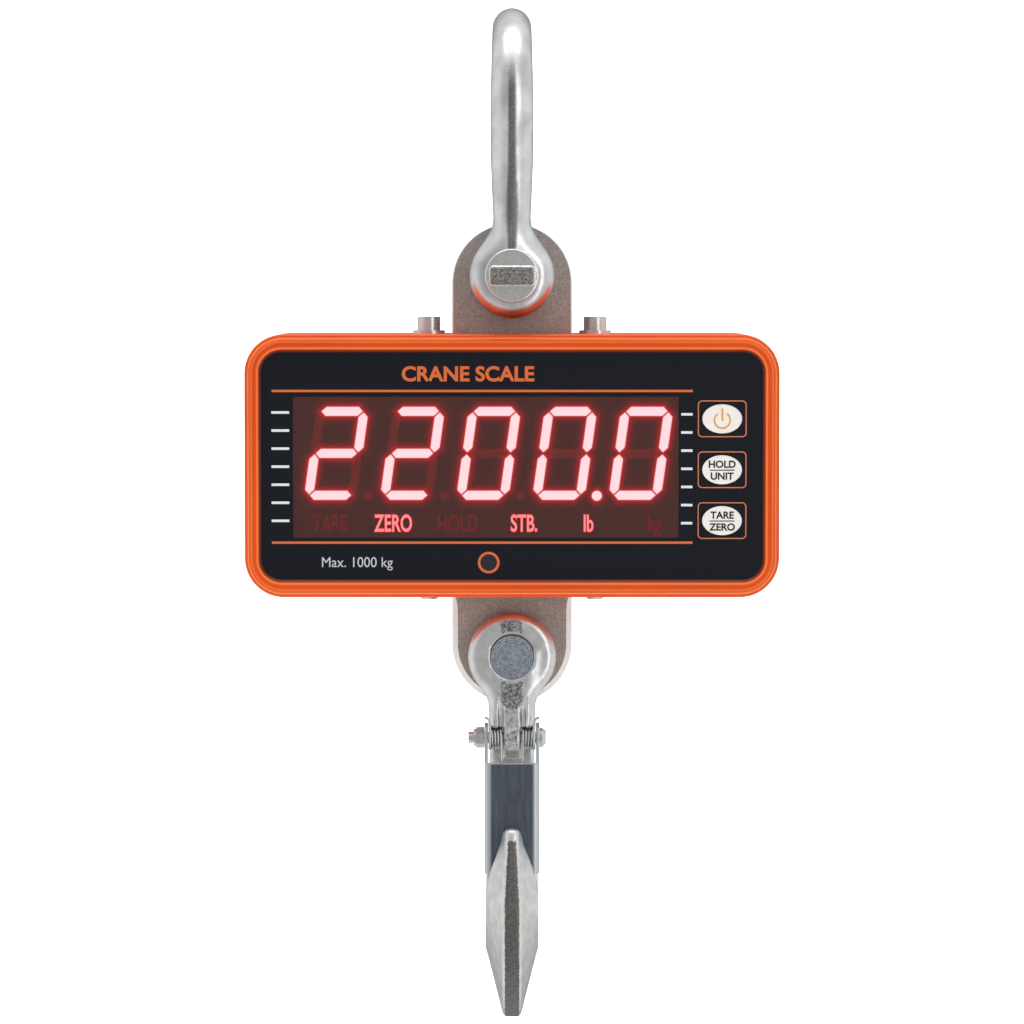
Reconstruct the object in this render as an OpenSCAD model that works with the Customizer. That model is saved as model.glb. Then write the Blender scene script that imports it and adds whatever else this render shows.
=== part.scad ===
// Digital crane scale: a load cell in a cast case with a lit weight display,
// hung from a bow shackle above and carrying a clevis hook with a sprung latch below.
//
// Millimetres. Z is up, and Y points from the display to the back of the case.
// The origin is the point inside the shackle's crown where the crane's hook bears.

/* [Load line] */
// Distance from the bow's inner crown down to the upper pin
bow_reach = 100; // [90:1:125]
// Diameter of the two load pins
pin_d = 19; // [16:0.5:23]
// Distance from the upper pin down to the top of the case
case_drop = 25.3; // [24:0.1:40]
// Distance from the bottom of the case down to the lower pin
hook_drop = 27.2; // [26:0.1:40]

/* [Load cell] */
// Width of the load cell
cell_w = 52.7; // [46:0.1:64]
// Thickness of the load cell
cell_t = 22; // [18:0.5:27]
// How far the upper pin sits above the centre of the cell's round top
upper_hole_offset = 3; // [0:0.5:5]
// How far the lower pin sits below the centre of the cell's round bottom
lower_hole_offset = 5; // [0:0.5:6]
// Chamfer on the edges of the cell's lower end
cell_chamfer = 2.4; // [1:0.1:3]

/* [Shackle] */
// Diameter of the bow's bar
bar_d = 17.3; // [14:0.1:21]
// Inside width of the bow at its widest
bow_w = 44; // [40:1:56]
// Outside diameter of the shackle's eyes
shackle_eye_d = 37; // [34:0.5:45]
// Thickness of the collar under the shackle pin's tab
collar_t = 4; // [3:0.5:6]
// Width of the shackle pin's tab
tab_w = 18.6; // [14:0.2:22]
// Thickness of the shackle pin's tab
tab_t = 7.5; // [5:0.5:10]
// Length of the shackle pin's tab
tab_l = 13; // [10:0.5:16]

/* [Hook] */
// Outside diameter of the hook's two ears
hook_ear_d = 38.6; // [36:0.2:46]
// Thickness of each of the hook's ears
hook_ear_t = 10; // [8:0.5:13]
// Width of the hook's neck
neck_w = 20.4; // [18:0.2:20.4]
// Widest part of the hook's bowl
hook_w = 24.6; // [22:0.2:30]
// Radius of the bowl that the sling lies in
bowl_r = 22; // [18:0.5:24]
// Distance from the lower pin down to the saddle of the hook
saddle_drop = 129; // [126:0.5:136]
// Diameter of the latch's bolt
latch_bolt_d = 5; // [4:0.5:6]
// Thickness of the latch's sheet
latch_t = 1.6; // [1.2:0.1:1.7]
// Outside width of the latch
latch_w = 24.2; // [23:0.1:26]

/* [Case] */
// Width of the case
case_w = 231.6; // [228:0.2:290]
// Height of the case
case_h = 114; // [112:0.5:145]
// Distance from the load line to the front rim
case_front = 38; // [36:0.5:46]
// Radius of the case's corners
corner_r = 17; // [15:0.5:22]
// Wall thickness of the two castings
wall = 3.5; // [3:0.1:4.5]
// Rounding of the front rim's outer edge
rim_round = 3; // [2:0.1:3.4]
// Rounding of the back casting's outer edge
back_round = 6; // [3:0.5:8]
// Distance from the load line forward to the joint between the castings
split = 16; // [15:0.5:18]

/* [Front panel] */
// Width of the rim at the sides of the panel
rim_side = 7.2; // [6:0.1:9]
// Width of the rim above and below the panel
rim_top = 7.75; // [6:0.05:9]
// Depth of the panel below the rim
panel_depth = 2; // [1:0.1:2.5]
// Thickness of the panel
panel_t = 1; // [0.8:0.1:1.5]
// Width of the display window
window_w = 167.2; // [165:0.2:172]
// Height of the display window
window_h = 61.4; // [60:0.2:68]
// Width of an oval key
key_w = 17.2; // [14:0.2:19]
// Height of an oval key
key_h = 12.6; // [10:0.2:15]
// Distance between keys, centre to centre
key_pitch = 22.05; // [19:0.05:24]
// Travel of a key
key_travel = 0.6; // [0.4:0.1:0.8]
// Diameter of the remote control's receiver lens
lens_d = 7; // [5:0.5:8]

/* [Electronics] */
// Number of digits
digits = 5; // [3:1:5]
// Distance between digits, centre to centre
digit_pitch = 33; // [30:0.5:33]
// Height of a digit's module
digit_h = 45; // [40:0.5:46]
// Thickness of a digit's module
digit_t = 8; // [6:0.5:9]
// Diameter of a battery cell
battery_d = 18.4; // [16:0.1:18.6]
// Number of battery cells
battery_count = 4; // [2:1:4]

/* [Hidden] */
$fn = 64;

// Clearances
run_gap = 0.05;     // radial, pin in its hole
jaw_gap = 1;        // each side of the load cell between eyes
slip = 0.1;         // each side of a piece that drops into a seat
air = 0.3;          // between bodies that pass each other
bolt_gap = 0.2;     // radial, screw in its through hole
overlap = 0.5;      // how far a boss runs into its wall
cut = 1;            // how far a cutter runs past what it cuts

// Load line
pin_r = pin_d / 2;
hole_r = pin_r + run_gap;
upper_z = -bow_reach;
case_top = upper_z - case_drop;
case_bottom = case_top - case_h;
case_z = (case_top + case_bottom) / 2;
lower_z = case_bottom - hook_drop;

// Load cell
cell_r = cell_w / 2;
cell_y = cell_t / 2;
cell_top_z = upper_z - upper_hole_offset;
cell_low_z = lower_z + lower_hole_offset;
top_chamfer = 0.8;
gauge_r = 14;
gauge_depth = cell_t * 0.34;
gauge_step_r = gauge_r + 3;
gauge_cover_t = 1.5;
gauge_gland_r = 3;
gauge_gland_h = 0.5;        // the gland stands this far off the cell
gauge_gland_bore = 1.5;
gauge_wire_x = gauge_r - 5;

// Shackle
bar_r = bar_d / 2;
eye_in = cell_y + jaw_gap;
eye_step = 0.4;            // the eye stands this far past the bar on each side
eye_out = eye_in + bar_d + 2 * eye_step;
leg_y = (eye_in + eye_out) / 2;
bow_r = bow_w / 2 + bar_r;
bow_z = bar_r - bow_r;
bow_turn = 20;
leg_bend_r = 40;
collar_r = pin_r + 2.25;
tab_hole_r = 2.5;

// Hook
ear_in = cell_y + jaw_gap;
ear_out = ear_in + hook_ear_t;
ear_r = hook_ear_d / 2;
crotch = cell_r + 0.9;
bowl_z = lower_z - saddle_drop + bowl_r;
bowl_section = 33.6;
bowl_outer_r = bowl_r + 24;
bowl_outer_y = 6;
bowl_outer_z = bowl_z - (bowl_section + bowl_r - bowl_outer_r);
latch_y = -15;
crotch_z = lower_z - crotch;
crotch_bevel = 3;
latch_z = crotch_z - 8.75;
latch_web_top = 10.5;      // from the pivot down to where the latch's face begins
latch_face = 7.5;          // from the pivot forward to the latch's face
latch_reach = latch_z - bowl_z - 11.5; // from the pivot down to the latch's end, inside the tip
latch_ear_r = 6.5;
shoulder_z = crotch_z - 4.25; // where the neck steps back for the latch
rib_t = 8;
spring_wire = 1.2;
spring_r = 4.8;
spring_pitch = 1.3;
spring_gap = 0.4;          // round the coils, in the neck's pockets
spring_bridge = 13;        // from the pivot down to the wire that presses on the latch
roll_pin_r = 2.5;
roll_wall = 1;
roll_slot = 0.8;
latch_head_r = 4.4;
nut_flat = 8;
nut_t = 4.6;

// Case, front to back
front_y = -case_front;
gasket_t = 0.8;
front_end_y = -split - gasket_t / 2;
rear_end_y = -split + gasket_t / 2;
panel_w = case_w - 2 * rim_side;
panel_h = case_h - 2 * rim_top;
panel_r = 8.7;
panel_y = front_y + panel_depth;
shelf_y = panel_y + panel_t;
shelf_t = 2.5;
inside_y = shelf_y + shelf_t;
board_y = inside_y + 0.5 + digit_t;
board_t = 1.6;
tray_wall = 2;
lead_r = 1.2;
lead_y = cell_y + 2;
tray_y = lead_y + lead_r + 0.7;
back_in_y = tray_y + tray_wall + battery_d + 1;
back_y = back_in_y + wall;
in_w = case_w - 2 * wall;
in_h = case_h - 2 * wall;
in_r = corner_r - wall;
boss_r = 5;
boss_in = corner_r - (corner_r - wall - boss_r + 1) / sqrt(2);
case_bolts = [
  for (sx = [-1, 1]) each [
    for (sz = [-1, 1]) [sx * (case_w / 2 - boss_in), sz * (case_h / 2 - boss_in)],
    [sx * (case_w / 2 - wall - boss_r + overlap), 0]
  ]
];
bolt_r = 2;
bolt_head_r = 3.6;
bolt_head_t = 4;
bolt_ledge_y = -2;
bolt_tip_y = inside_y + 4;

// Slots for the load cell, and what holds it there
slot_gap = 0.5;
clamp_x = cell_r + 10.2;
clamp_r = 3;
cap_head_r = 5;
cap_head_h = 6;
cap_key_r = 2.9;
washer_r = 7;
washer_t = 1.4;
button_r = 5.3;
button_h = 3.3;
button_key_r = 1.9;
plate_w = 2 * (clamp_x + 8);
plate_d = 2 * (split - 1);
bracket_t = 4;
bracket_tab_h = 26;
bracket_hole_x = cell_w * 0.28;
seal_t = 1.5;
guide_t = 3;
plate_z = case_top - wall - seal_t;
bracket_screw_z = plate_z - bracket_t - bracket_tab_h * 0.55;

// Panel openings
key_x = panel_w / 2 - 17.65;
key_z = case_z - 1.6;
window_x = (key_x - panel_w / 2) / 2 - 2.5;
window_z = case_z - 0.6;
lens_x = -10.1;
lens_z = case_bottom + rim_top + 7.4;
key_proud = 0.5;
key_stem_r = 2;
switch_h = 3.5;
switch_nub = 1.1;

// Electronics
digit_z = window_z + 6;
bar_h = 11;
bar_z = window_z - window_h / 2 + bar_h / 2 + 0.6;
board_w = 2 * (case_w / 2 - wall - 2 * boss_r - 3.3);
board_top = case_z + case_h / 2 - 17;
board_bottom = case_z - case_h / 2 + 11;
spacer_x = board_w / 2 - 14;
spacer_r = 3;
spacer_in = 4.2;
spacer_seat = 1;
small_screw_r = 1.5;
small_head_r = 2.8;
small_head_h = 1.8;
main_x0 = -in_w / 2 + 13.5;
main_x1 = main_x0 + 46;
main_half_h = in_h / 2 - 15;
main_y = back_in_y - 8;
main_holes = [for (x = [main_x0 + 4, main_x1 - 4], sz = [-1, 1]) [x, sz * (main_half_h - 4)]];
plug_x = main_x1 - 5;
plug_z = case_z - 25;
plug_h = 2.4;
solder = 0.1;              // how far a part's foot runs into its board

// Battery bay
battery_l = 65;
cells_w = battery_count * battery_d;
bay_w = cells_w + 4;
bay_h = battery_l + 4;
bay_z = case_z;
cover_w = bay_w + 22;
cover_h = bay_h + 18;
cover_t = 2.5;
cover_gasket_t = 1;
cover_screw_in = 6;

// Charging socket
socket_x = in_w / 2 - 30;
socket_z = case_z - 22;
socket_bore_r = 4;
socket_bore_l = 4;
jack_r = 2.8;
jack_pin_r = 1.05;
socket_thread_r = 5.5;
collar_out_r = 6.5;
socket_proud = 3;
cap_wall = 1.4;
cap_gap = 0.8;
cap_lift = 1.4;            // between the cap's rim and the case
cap_hinge_up = 12.5;
cap_t = 1.6;
strap_w = 5.2;
strap_y = back_y + socket_proud + air + cap_t / 2;
anchor_r = 3.6;
anchor_t = 1.6;
anchor_up = cap_hinge_up + 5;
rivet_r = 1.5;
rivet_head_r = 2.3;
rivet_head_h = 0.9;

// ---------- shapes that repeat ----------

module y_rod(r, y0, y1, x = 0, z = 0)
  translate([x, min(y0, y1), z]) rotate([-90, 0, 0]) cylinder(h = abs(y1 - y0), r = r);

module x_rod(r, x0, x1, y = 0, z = 0)
  translate([min(x0, x1), y, z]) rotate([0, 90, 0]) cylinder(h = abs(x1 - x0), r = r);

module z_rod(r, z0, z1, x = 0, y = 0)
  translate([x, y, min(z0, z1)]) cylinder(h = abs(z1 - z0), r = r);

module block(low, high)
  translate(low) cube(high - low);

// Carries a 2-D outline drawn in X and Z along Y.
module across(y0, y1)
  translate([0, max(y0, y1), 0]) rotate([90, 0, 0]) linear_extrude(abs(y1 - y0)) children();

// Carries a 2-D outline drawn in Y and Z along X, centred.
module sideways(w)
  translate([-w / 2, 0, 0]) rotate([90, 0, 90]) linear_extrude(w) children();

module round_rect(w, h, r) {
  square([w - 2 * r, h], center = true);
  square([w, h - 2 * r], center = true);
  for (sx = [-1, 1], sz = [-1, 1]) translate([sx * (w / 2 - r), sz * (h / 2 - r)]) circle(r);
}

module round_plate(w, h, r, y0, y1, x = 0, z = case_z)
  translate([x, 0, z]) across(y0, y1) round_rect(w, h, r);

// Half of a slab's section: d out from its middle, y0 to y1 deep, with the outer edge at y0 rounded by f.
module edge_section(d, y0, y1, f) {
  s = sign(y1 - y0);
  translate([0, min(y0, y1)]) square([d - f, abs(y1 - y0)]);
  translate([0, min(y0 + s * f, y1)]) square([d, abs(y1 - y0) - f]);
  translate([d - f, y0 + s * f]) circle(f);
}

// A slab with round corners of radius r, whose face at y0 has a rounded edge.
module soft_slab(w, h, r, y0, y1, f) {
  x = w / 2 - r;
  z = h / 2 - r;
  corners = [[1, -1], [-1, -1], [-1, 1], [1, 1]];
  translate([0, 0, case_z]) {
    translate([-x, 0, 0]) rotate([90, 0, 90]) linear_extrude(2 * x)
      for (m = [0, 1]) mirror([0, m]) rotate(-90) mirror([1, 0]) edge_section(h / 2, y0, y1, f);
    for (m = [0, 1]) mirror([m, 0, 0])
      translate([x, 0, -z]) linear_extrude(2 * z) edge_section(r, y0, y1, f);
    for (k = [0:3])
      translate([corners[k][0] * x, 0, corners[k][1] * z]) rotate([0, 90 * k, 0])
        rotate([-90, 0, 0]) rotate_extrude(angle = 90) edge_section(r, y0, y1, f);
  }
}

module at_case_bolts()
  for (p = case_bolts) translate([p[0], 0, case_z + p[1]]) children();

module oval(w, h)
  polygon([for (k = [0:47]) [w / 2 * cos(7.5 * k), h / 2 * sin(7.5 * k)]]);

module at_clamps()
  for (sx = [-1, 1]) translate([sx * clamp_x, 0, 0]) children();

// Arc of a round bar in the Y-Z plane, between two angles measured from +Y towards +Z.
module bend(big_r, bar, from, to)
  rotate([90, 0, 90]) rotate([0, 0, from]) rotate_extrude(angle = to - from) translate([big_r, 0]) circle(bar);

// Straight round bar between two points in the Y-Z plane.
module strut(a, b, r) {
  d = b - a;
  translate([0, a[0], a[1]]) rotate([atan2(d[1], d[0]) - 90, 0, 0]) cylinder(h = norm(d), r = r);
}

// Pan-headed or socket-headed screw along Y: its head lies from y_head by h, its shank runs to y_tip.
module y_screw(r, head_r, h, y_head, y_tip) {
  s = sign(y_tip - y_head);
  difference() {
    y_rod(head_r, y_head - s * h, y_head);
    y_rod(r * 0.7, y_head - s * (h + cut), y_head - s * h * 0.45, $fn = 6);
  }
  y_rod(r, y_head - s * h * 0.4, y_tip);
}

// Round wire along a list of points: one polyhedron with a ring of points round each path point.
function unit(v) = v / norm(v);
function heading(p, i) = unit(p[min(i + 1, len(p) - 1)] - p[max(i - 1, 0)]);
function side_of(t, old) = unit(old - (old * t) * t);
function frames(p, i, old) =
  i >= len(p) ? [] :
  let (t = heading(p, i), u = side_of(t, old)) concat([[u, cross(t, u)]], frames(p, i + 1, u));

module wire(p, r, first_side, sides = 8) {
  n = len(p);
  f = frames(p, 0, first_side);
  points = [
    for (i = [0:n - 1]) for (k = [0:sides - 1])
      p[i] + r * (cos(360 / sides * k) * f[i][0] + sin(360 / sides * k) * f[i][1])
  ];
  walls = [
    for (i = [0:n - 2]) for (k = [0:sides - 1])
      let (next = (k + 1) % sides)
        [i * sides + k, (i + 1) * sides + k, (i + 1) * sides + next, i * sides + next]
  ];
  caps = [[for (k = [0:sides - 1]) k], [for (k = [0:sides - 1]) n * sides - 1 - k]];
  polyhedron(points, concat(walls, caps));
}

// ---------- shackle ----------

module shackle_bow() color("silver") {
  a = [bow_r * cos(bow_turn), bow_z - bow_r * sin(bow_turn)];
  down = [-sin(bow_turn), -cos(bow_turn)];
  run = (bow_r - leg_y - (bow_r + leg_bend_r) * (1 - cos(bow_turn))) / sin(bow_turn);
  b = a + run * down;
  c = b + leg_bend_r * [cos(bow_turn), -sin(bow_turn)];
  // The bends end inside the straight lengths, which are a hair thicker.
  lap = 1;
  lap_step = 0.05;
  bow_lap = lap / bow_r * 180 / PI;
  bend_lap = lap / leg_bend_r * 180 / PI;
  difference() {
    union() {
      translate([0, 0, bow_z]) bend(bow_r, bar_r, -bow_turn - bow_lap, 180 + bow_turn + bow_lap);
      for (m = [0, 1]) mirror([0, m, 0]) {
        strut(a, b, bar_r + lap_step);
        translate([0, c[0], c[1]]) bend(leg_bend_r, bar_r, 180 - bow_turn - bend_lap, 180 + bend_lap);
        strut([leg_y, c[1]], [leg_y, upper_z + pin_r + 3], bar_r + lap_step);
        y_rod(shackle_eye_d / 2, eye_in, eye_out, z = upper_z);
      }
    }
    y_rod(hole_r, -eye_out - cut, eye_out + cut, z = upper_z);
  }
}

module shackle_pin() color("gray") {
  y_rod(pin_r, -eye_out - air, eye_out + 1, z = upper_z);
  y_rod(collar_r, -eye_out - collar_t, -eye_out - slip, z = upper_z);
  difference() {
    block([-tab_w / 2, -eye_out - collar_t - tab_l, upper_z - tab_t / 2],
          [tab_w / 2, -eye_out - collar_t + cut, upper_z + tab_t / 2]);
    z_rod(tab_hole_r, upper_z - tab_t, upper_z + tab_t, y = -eye_out - collar_t - tab_l * 0.6);
  }
}

// ---------- load cell ----------

module cell_section(c)
  polygon([
    [-cell_r + c, -cell_y], [cell_r - c, -cell_y], [cell_r, -cell_y + c], [cell_r, cell_y - c],
    [cell_r - c, cell_y], [-cell_r + c, cell_y], [-cell_r, cell_y - c], [-cell_r, -cell_y + c]
  ]);

// Round end of the cell, chamfered by c: the lower half, or the upper half if up is true.
module cell_end(z, c, up)
  translate([0, 0, z]) rotate([up ? 90 : -90, 0, 0]) rotate_extrude(angle = 180)
    polygon([
      [0, -cell_y], [cell_r - c, -cell_y], [cell_r, -cell_y + c],
      [cell_r, cell_y - c], [cell_r - c, cell_y], [0, cell_y]
    ]);

module load_cell() color("rosybrown") {
  chamfer_top = case_bottom - 4;
  difference() {
    union() {
      translate([0, 0, cell_low_z]) linear_extrude(chamfer_top - cell_low_z) cell_section(cell_chamfer);
      translate([0, 0, chamfer_top]) linear_extrude(cell_top_z - chamfer_top) cell_section(top_chamfer);
      cell_end(cell_low_z, cell_chamfer, false);
      cell_end(cell_top_z, top_chamfer, true);
    }
    for (z = [upper_z, lower_z]) y_rod(hole_r, -cell_y - cut, cell_y + cut, z = z);
    for (s = [-1, 1]) {
      y_rod(gauge_r, s * (cell_y - gauge_depth), s * (cell_y + cut), z = case_z);
      y_rod(gauge_step_r + slip, s * (cell_y - gauge_cover_t), s * (cell_y + cut), z = case_z);
    }
    for (sx = [-1, 1])
      y_rod(clamp_r, -cell_y - cut, -cell_y + 10, x = sx * bracket_hole_x, z = bracket_screw_z);
  }
}

module gauge_covers() color("lightgray")
  for (s = [-1, 1]) difference() {
    union() {
      y_rod(gauge_step_r, s * (cell_y - gauge_cover_t + 0.02), s * cell_y, z = case_z);
      if (s > 0)
        y_rod(gauge_gland_r, cell_y - gauge_cover_t / 2, cell_y + gauge_gland_h, x = gauge_wire_x, z = case_z);
    }
    if (s > 0)
      translate([gauge_wire_x, 0, case_z])
        y_rod(gauge_gland_bore, cell_y - gauge_cover_t - cut, cell_y + gauge_gland_h + cut);
  }

module gauge_lead() color("dimgray") {
  x = gauge_wire_x;
  wire([
    [x, cell_y + 0.1, case_z], [x, lead_y - 0.7, case_z], [x + 0.1, lead_y - 0.1, case_z - 0.8],
    [x, lead_y, case_z - 3], [x - 1, lead_y, case_z - 15], [x - 6, lead_y, case_z - 28],
    [x - 16, lead_y, case_z - 37], [x - 30, lead_y, case_z - 41], [main_x1 + 12, lead_y, case_z - 42],
    [main_x1 + 5, lead_y + 1.5, case_z - 41], [main_x1, lead_y + 5, case_z - 37],
    [plug_x, main_y - 8, plug_z - 2], [plug_x, main_y - 5, plug_z], [plug_x, main_y - plug_h - 0.05, plug_z]
  ], lead_r, [1, 0, 0]);
}

// ---------- what hangs the case on the cell ----------

module seal_outline(gap) difference() {
  square([plate_w, plate_d], center = true);
  square([cell_w + 2 * gap, cell_t + 2 * gap], center = true);
  at_clamps() circle(clamp_r + run_gap);
}

module hanger_bracket() color("lightsteelblue") difference() {
  union() {
    translate([0, 0, plate_z - bracket_t]) linear_extrude(bracket_t) seal_outline(slip);
    block([-cell_w * 0.44, -cell_y - slip - bracket_t, plate_z - bracket_t - bracket_tab_h],
          [cell_w * 0.44, -cell_y - slip, plate_z - bracket_t + overlap]);
  }
  for (sx = [-1, 1])
    translate([sx * bracket_hole_x, 0, bracket_screw_z])
      y_rod(clamp_r + bolt_gap, -cell_y - bracket_t - cut, -cell_y + cut);
}

module bracket_screws() color("silver")
  for (sx = [-1, 1]) translate([sx * bracket_hole_x, 0, bracket_screw_z])
    y_screw(clamp_r - run_gap, button_r, button_h, -cell_y - slip - bracket_t, -cell_y + 9);

module top_seal() color("black")
  translate([0, 0, case_top - wall - seal_t]) linear_extrude(seal_t) seal_outline(slip);

module top_washers() color("silver")
  at_clamps() difference() {
    z_rod(washer_r, case_top, case_top + washer_t);
    z_rod(clamp_r + bolt_gap, case_top - cut, case_top + washer_t + cut);
  }

module top_screws() color("silver")
  at_clamps() translate([0, 0, case_top + washer_t]) {
    difference() {
      z_rod(cap_head_r, 0, cap_head_h);
      z_rod(cap_key_r, cap_head_h * 0.5, cap_head_h + cut, $fn = 6);
    }
    z_rod(clamp_r - run_gap, -washer_t - wall - seal_t - bracket_t - 2, overlap);
  }

module guide_plate() color("lightsteelblue")
  translate([0, 0, case_bottom + wall + seal_t]) linear_extrude(guide_t) seal_outline(slot_gap);

module bottom_seal() color("black")
  translate([0, 0, case_bottom + wall]) linear_extrude(seal_t) seal_outline(slip);

module bottom_screws() color("silver")
  at_clamps() {
    difference() {
      union() {
        z_rod(button_r, case_bottom - button_h * 0.4, case_bottom);
        translate([0, 0, case_bottom - button_h])
          cylinder(h = button_h * 0.6, r1 = button_r * 0.62, r2 = button_r);
      }
      z_rod(button_key_r, case_bottom - button_h - cut, case_bottom - button_h * 0.4, $fn = 6);
    }
    z_rod(clamp_r - run_gap, case_bottom - overlap, case_bottom + wall + seal_t + guide_t + 2);
  }

// ---------- case ----------

module cell_slots()
  for (z = [case_top - wall / 2, case_bottom + wall / 2])
    block([-cell_r - slot_gap, -cell_y - slot_gap, z - wall / 2 - cut],
          [cell_r + slot_gap, cell_y + slot_gap, z + wall / 2 + cut]);

module front_case() color("orangered") difference() {
  union() {
    difference() {
      soft_slab(case_w, case_h, corner_r, front_y, front_end_y, rim_round);
      round_plate(in_w, in_h, in_r, inside_y, front_end_y + cut);
    }
    at_case_bolts() y_rod(boss_r, inside_y - overlap, front_end_y);
    at_spacers() y_rod(spacer_r + 1.5, inside_y - overlap, inside_y + spacer_seat);
  }
  round_plate(panel_w, panel_h, panel_r, front_y - cut, shelf_y);
  round_plate(window_w + 2 * slip, window_h + 2 * slip, 1, shelf_y - cut, inside_y + cut, window_x, window_z);
  for (k = [-1:1])
    y_rod(key_stem_r + 1.2, shelf_y - cut, inside_y + cut, x = key_x, z = key_z + k * key_pitch);
  y_rod(lens_d / 2 + slip, shelf_y - cut, inside_y + cut, x = lens_x, z = lens_z);
  at_case_bolts() y_rod(bolt_r, bolt_tip_y - 2, front_end_y + cut);
  at_spacers() y_rod(small_screw_r, inside_y - 1, inside_y + spacer_seat + cut);
}

module rear_case() color("orangered") difference() {
  union() {
    difference() {
      soft_slab(case_w, case_h, corner_r, back_y, rear_end_y, back_round);
      round_plate(in_w, in_h, in_r, rear_end_y - cut, back_in_y);
    }
    at_case_bolts() y_rod(boss_r, rear_end_y, back_in_y + overlap);
    for (p = main_holes) y_rod(spacer_r, main_y + board_t, back_in_y + overlap, x = p[0], z = case_z + p[1]);
  }
  cell_slots();
  at_clamps() for (z = [case_top, case_bottom]) z_rod(clamp_r + run_gap, z - wall - cut, z + wall + cut);
  round_plate(bay_w, bay_h, 3, back_in_y - cut, back_y + cut, 0, bay_z);
  at_cover_screws() y_rod(small_screw_r + run_gap, back_in_y - cut, back_y + cut);
  y_rod(socket_thread_r + slip, back_in_y - cut, back_y + cut, x = socket_x, z = socket_z);
  y_rod(rivet_r + run_gap, back_in_y - cut, back_y + cut, x = socket_x, z = socket_z + anchor_up);
  at_case_bolts() {
    y_rod(bolt_r + bolt_gap, rear_end_y - cut, back_y);
    y_rod(bolt_head_r + 0.4, bolt_ledge_y, back_y + cut);
  }
  for (p = main_holes) y_rod(small_screw_r, main_y, back_in_y - 1, x = p[0], z = case_z + p[1]);
}

module case_gasket() color("black") {
  inset = 0.7;
  difference() {
    union() {
      difference() {
        round_plate(case_w - 2 * inset, case_h - 2 * inset, corner_r - inset, front_end_y, rear_end_y);
        round_plate(in_w, in_h, in_r, front_end_y - cut, rear_end_y + cut);
      }
      at_case_bolts() y_rod(boss_r, front_end_y, rear_end_y);
    }
    at_case_bolts() y_rod(bolt_r + bolt_gap, front_end_y - cut, rear_end_y + cut);
  }
}

module case_screws() color("silver")
  at_case_bolts() y_screw(bolt_r - run_gap, bolt_head_r, bolt_head_t, bolt_ledge_y, bolt_tip_y);

// ---------- front panel ----------

module keypad_panel() color("#15181d") difference() {
  round_plate(panel_w - 2 * slip, panel_h - 2 * slip, panel_r - slip, panel_y, shelf_y);
  round_plate(window_w + 2 * slip, window_h + 2 * slip, 1, panel_y - cut, shelf_y + cut, window_x, window_z);
  for (k = [-1:1]) translate([key_x, 0, key_z + k * key_pitch])
    across(panel_y - cut, shelf_y + cut) oval(key_w + 0.5, key_h + 0.5);
  y_rod(lens_d / 2 + slip, panel_y - cut, shelf_y + cut, x = lens_x, z = lens_z);
}

module display_window() color("#4a1512")
  round_plate(window_w, window_h, 0.9, panel_y, inside_y, window_x, window_z);

module receiver_lens() color("#220808")
  y_rod(lens_d / 2, panel_y, inside_y + 1, x = lens_x, z = lens_z);

module key(k) color("white") translate([key_x, 0, key_z + k * key_pitch]) {
  across(panel_y - key_proud, shelf_y - key_travel - slip) oval(key_w, key_h);
  y_rod(key_stem_r, shelf_y - key_travel - slip - 0.1, board_y - switch_h - switch_nub - key_travel - air);
}

module power_key() key(1);
module hold_key() key(0);
module tare_key() key(-1);

// ---------- electronics ----------

module at_spacers()
  for (sx = [-1, 1], z = [board_top - spacer_in, board_bottom + spacer_in])
    translate([sx * spacer_x, 0, z]) children();

module digit_modules() color("#2a1010")
  for (k = [0:digits - 1]) translate([window_x + (k - (digits - 1) / 2) * digit_pitch, 0, digit_z])
    block([-digit_pitch / 2 + slip, board_y - digit_t, -digit_h / 2],
          [digit_pitch / 2 - slip, board_y, digit_h / 2]);

module annunciator_bar() color("#2a1010")
  block([window_x - digits * digit_pitch / 2, board_y - digit_t, bar_z - bar_h / 2],
        [window_x + digits * digit_pitch / 2, board_y, bar_z + bar_h / 2]);

module display_board() color("darkgreen") difference() {
  block([-board_w / 2, board_y, board_bottom], [board_w / 2, board_y + board_t, board_top]);
  at_spacers() y_rod(small_screw_r + slip, board_y - cut, board_y + board_t + cut);
}

module board_spacers() color("goldenrod")
  at_spacers() difference() {
    y_rod(spacer_r, inside_y + spacer_seat, board_y);
    y_rod(small_screw_r + slip, inside_y, board_y + cut);
  }

module board_screws() color("silver")
  at_spacers() y_screw(small_screw_r - run_gap, small_head_r, small_head_h, board_y + board_t, inside_y - 0.8);

module key_switches() color("#222222")
  for (k = [-1:1]) translate([key_x, 0, key_z + k * key_pitch]) {
    block([-3, board_y - switch_h, -3], [3, board_y, 3]);
    y_rod(1.7, board_y - switch_h - switch_nub, board_y - switch_h + overlap);
  }

module receiver_sensor() color("#1a1a1a") {
  block([lens_x - 3.5, board_y - 4, lens_z - 3.5], [lens_x + 3.5, board_y, lens_z + 3.5]);
  y_rod(2.4, board_y - 5.5, board_y - 4 + overlap, x = lens_x, z = lens_z);
}

module main_board() color("darkgreen") {
  difference() {
    block([main_x0, main_y, case_z - main_half_h], [main_x1, main_y + board_t, case_z + main_half_h]);
    for (p = main_holes)
      y_rod(small_screw_r + slip, main_y - cut, main_y + board_t + cut, x = p[0], z = case_z + p[1]);
  }
  // Processor, the lead's plug and a capacitor
  block([main_x0 + 12, main_y - 2, case_z - 8], [main_x0 + 26, main_y + solder, case_z + 6]);
  block([plug_x - 4, main_y - plug_h, plug_z - 5], [plug_x + 4, main_y + solder, plug_z + 5]);
  y_rod(5, main_y - 12, main_y + solder, x = main_x1 - 12, z = case_z + 18);
}

module main_board_screws() color("silver")
  for (p = main_holes) translate([p[0], 0, case_z + p[1]])
    y_screw(small_screw_r - run_gap, small_head_r, small_head_h, main_y, main_y + board_t + 5);

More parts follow.
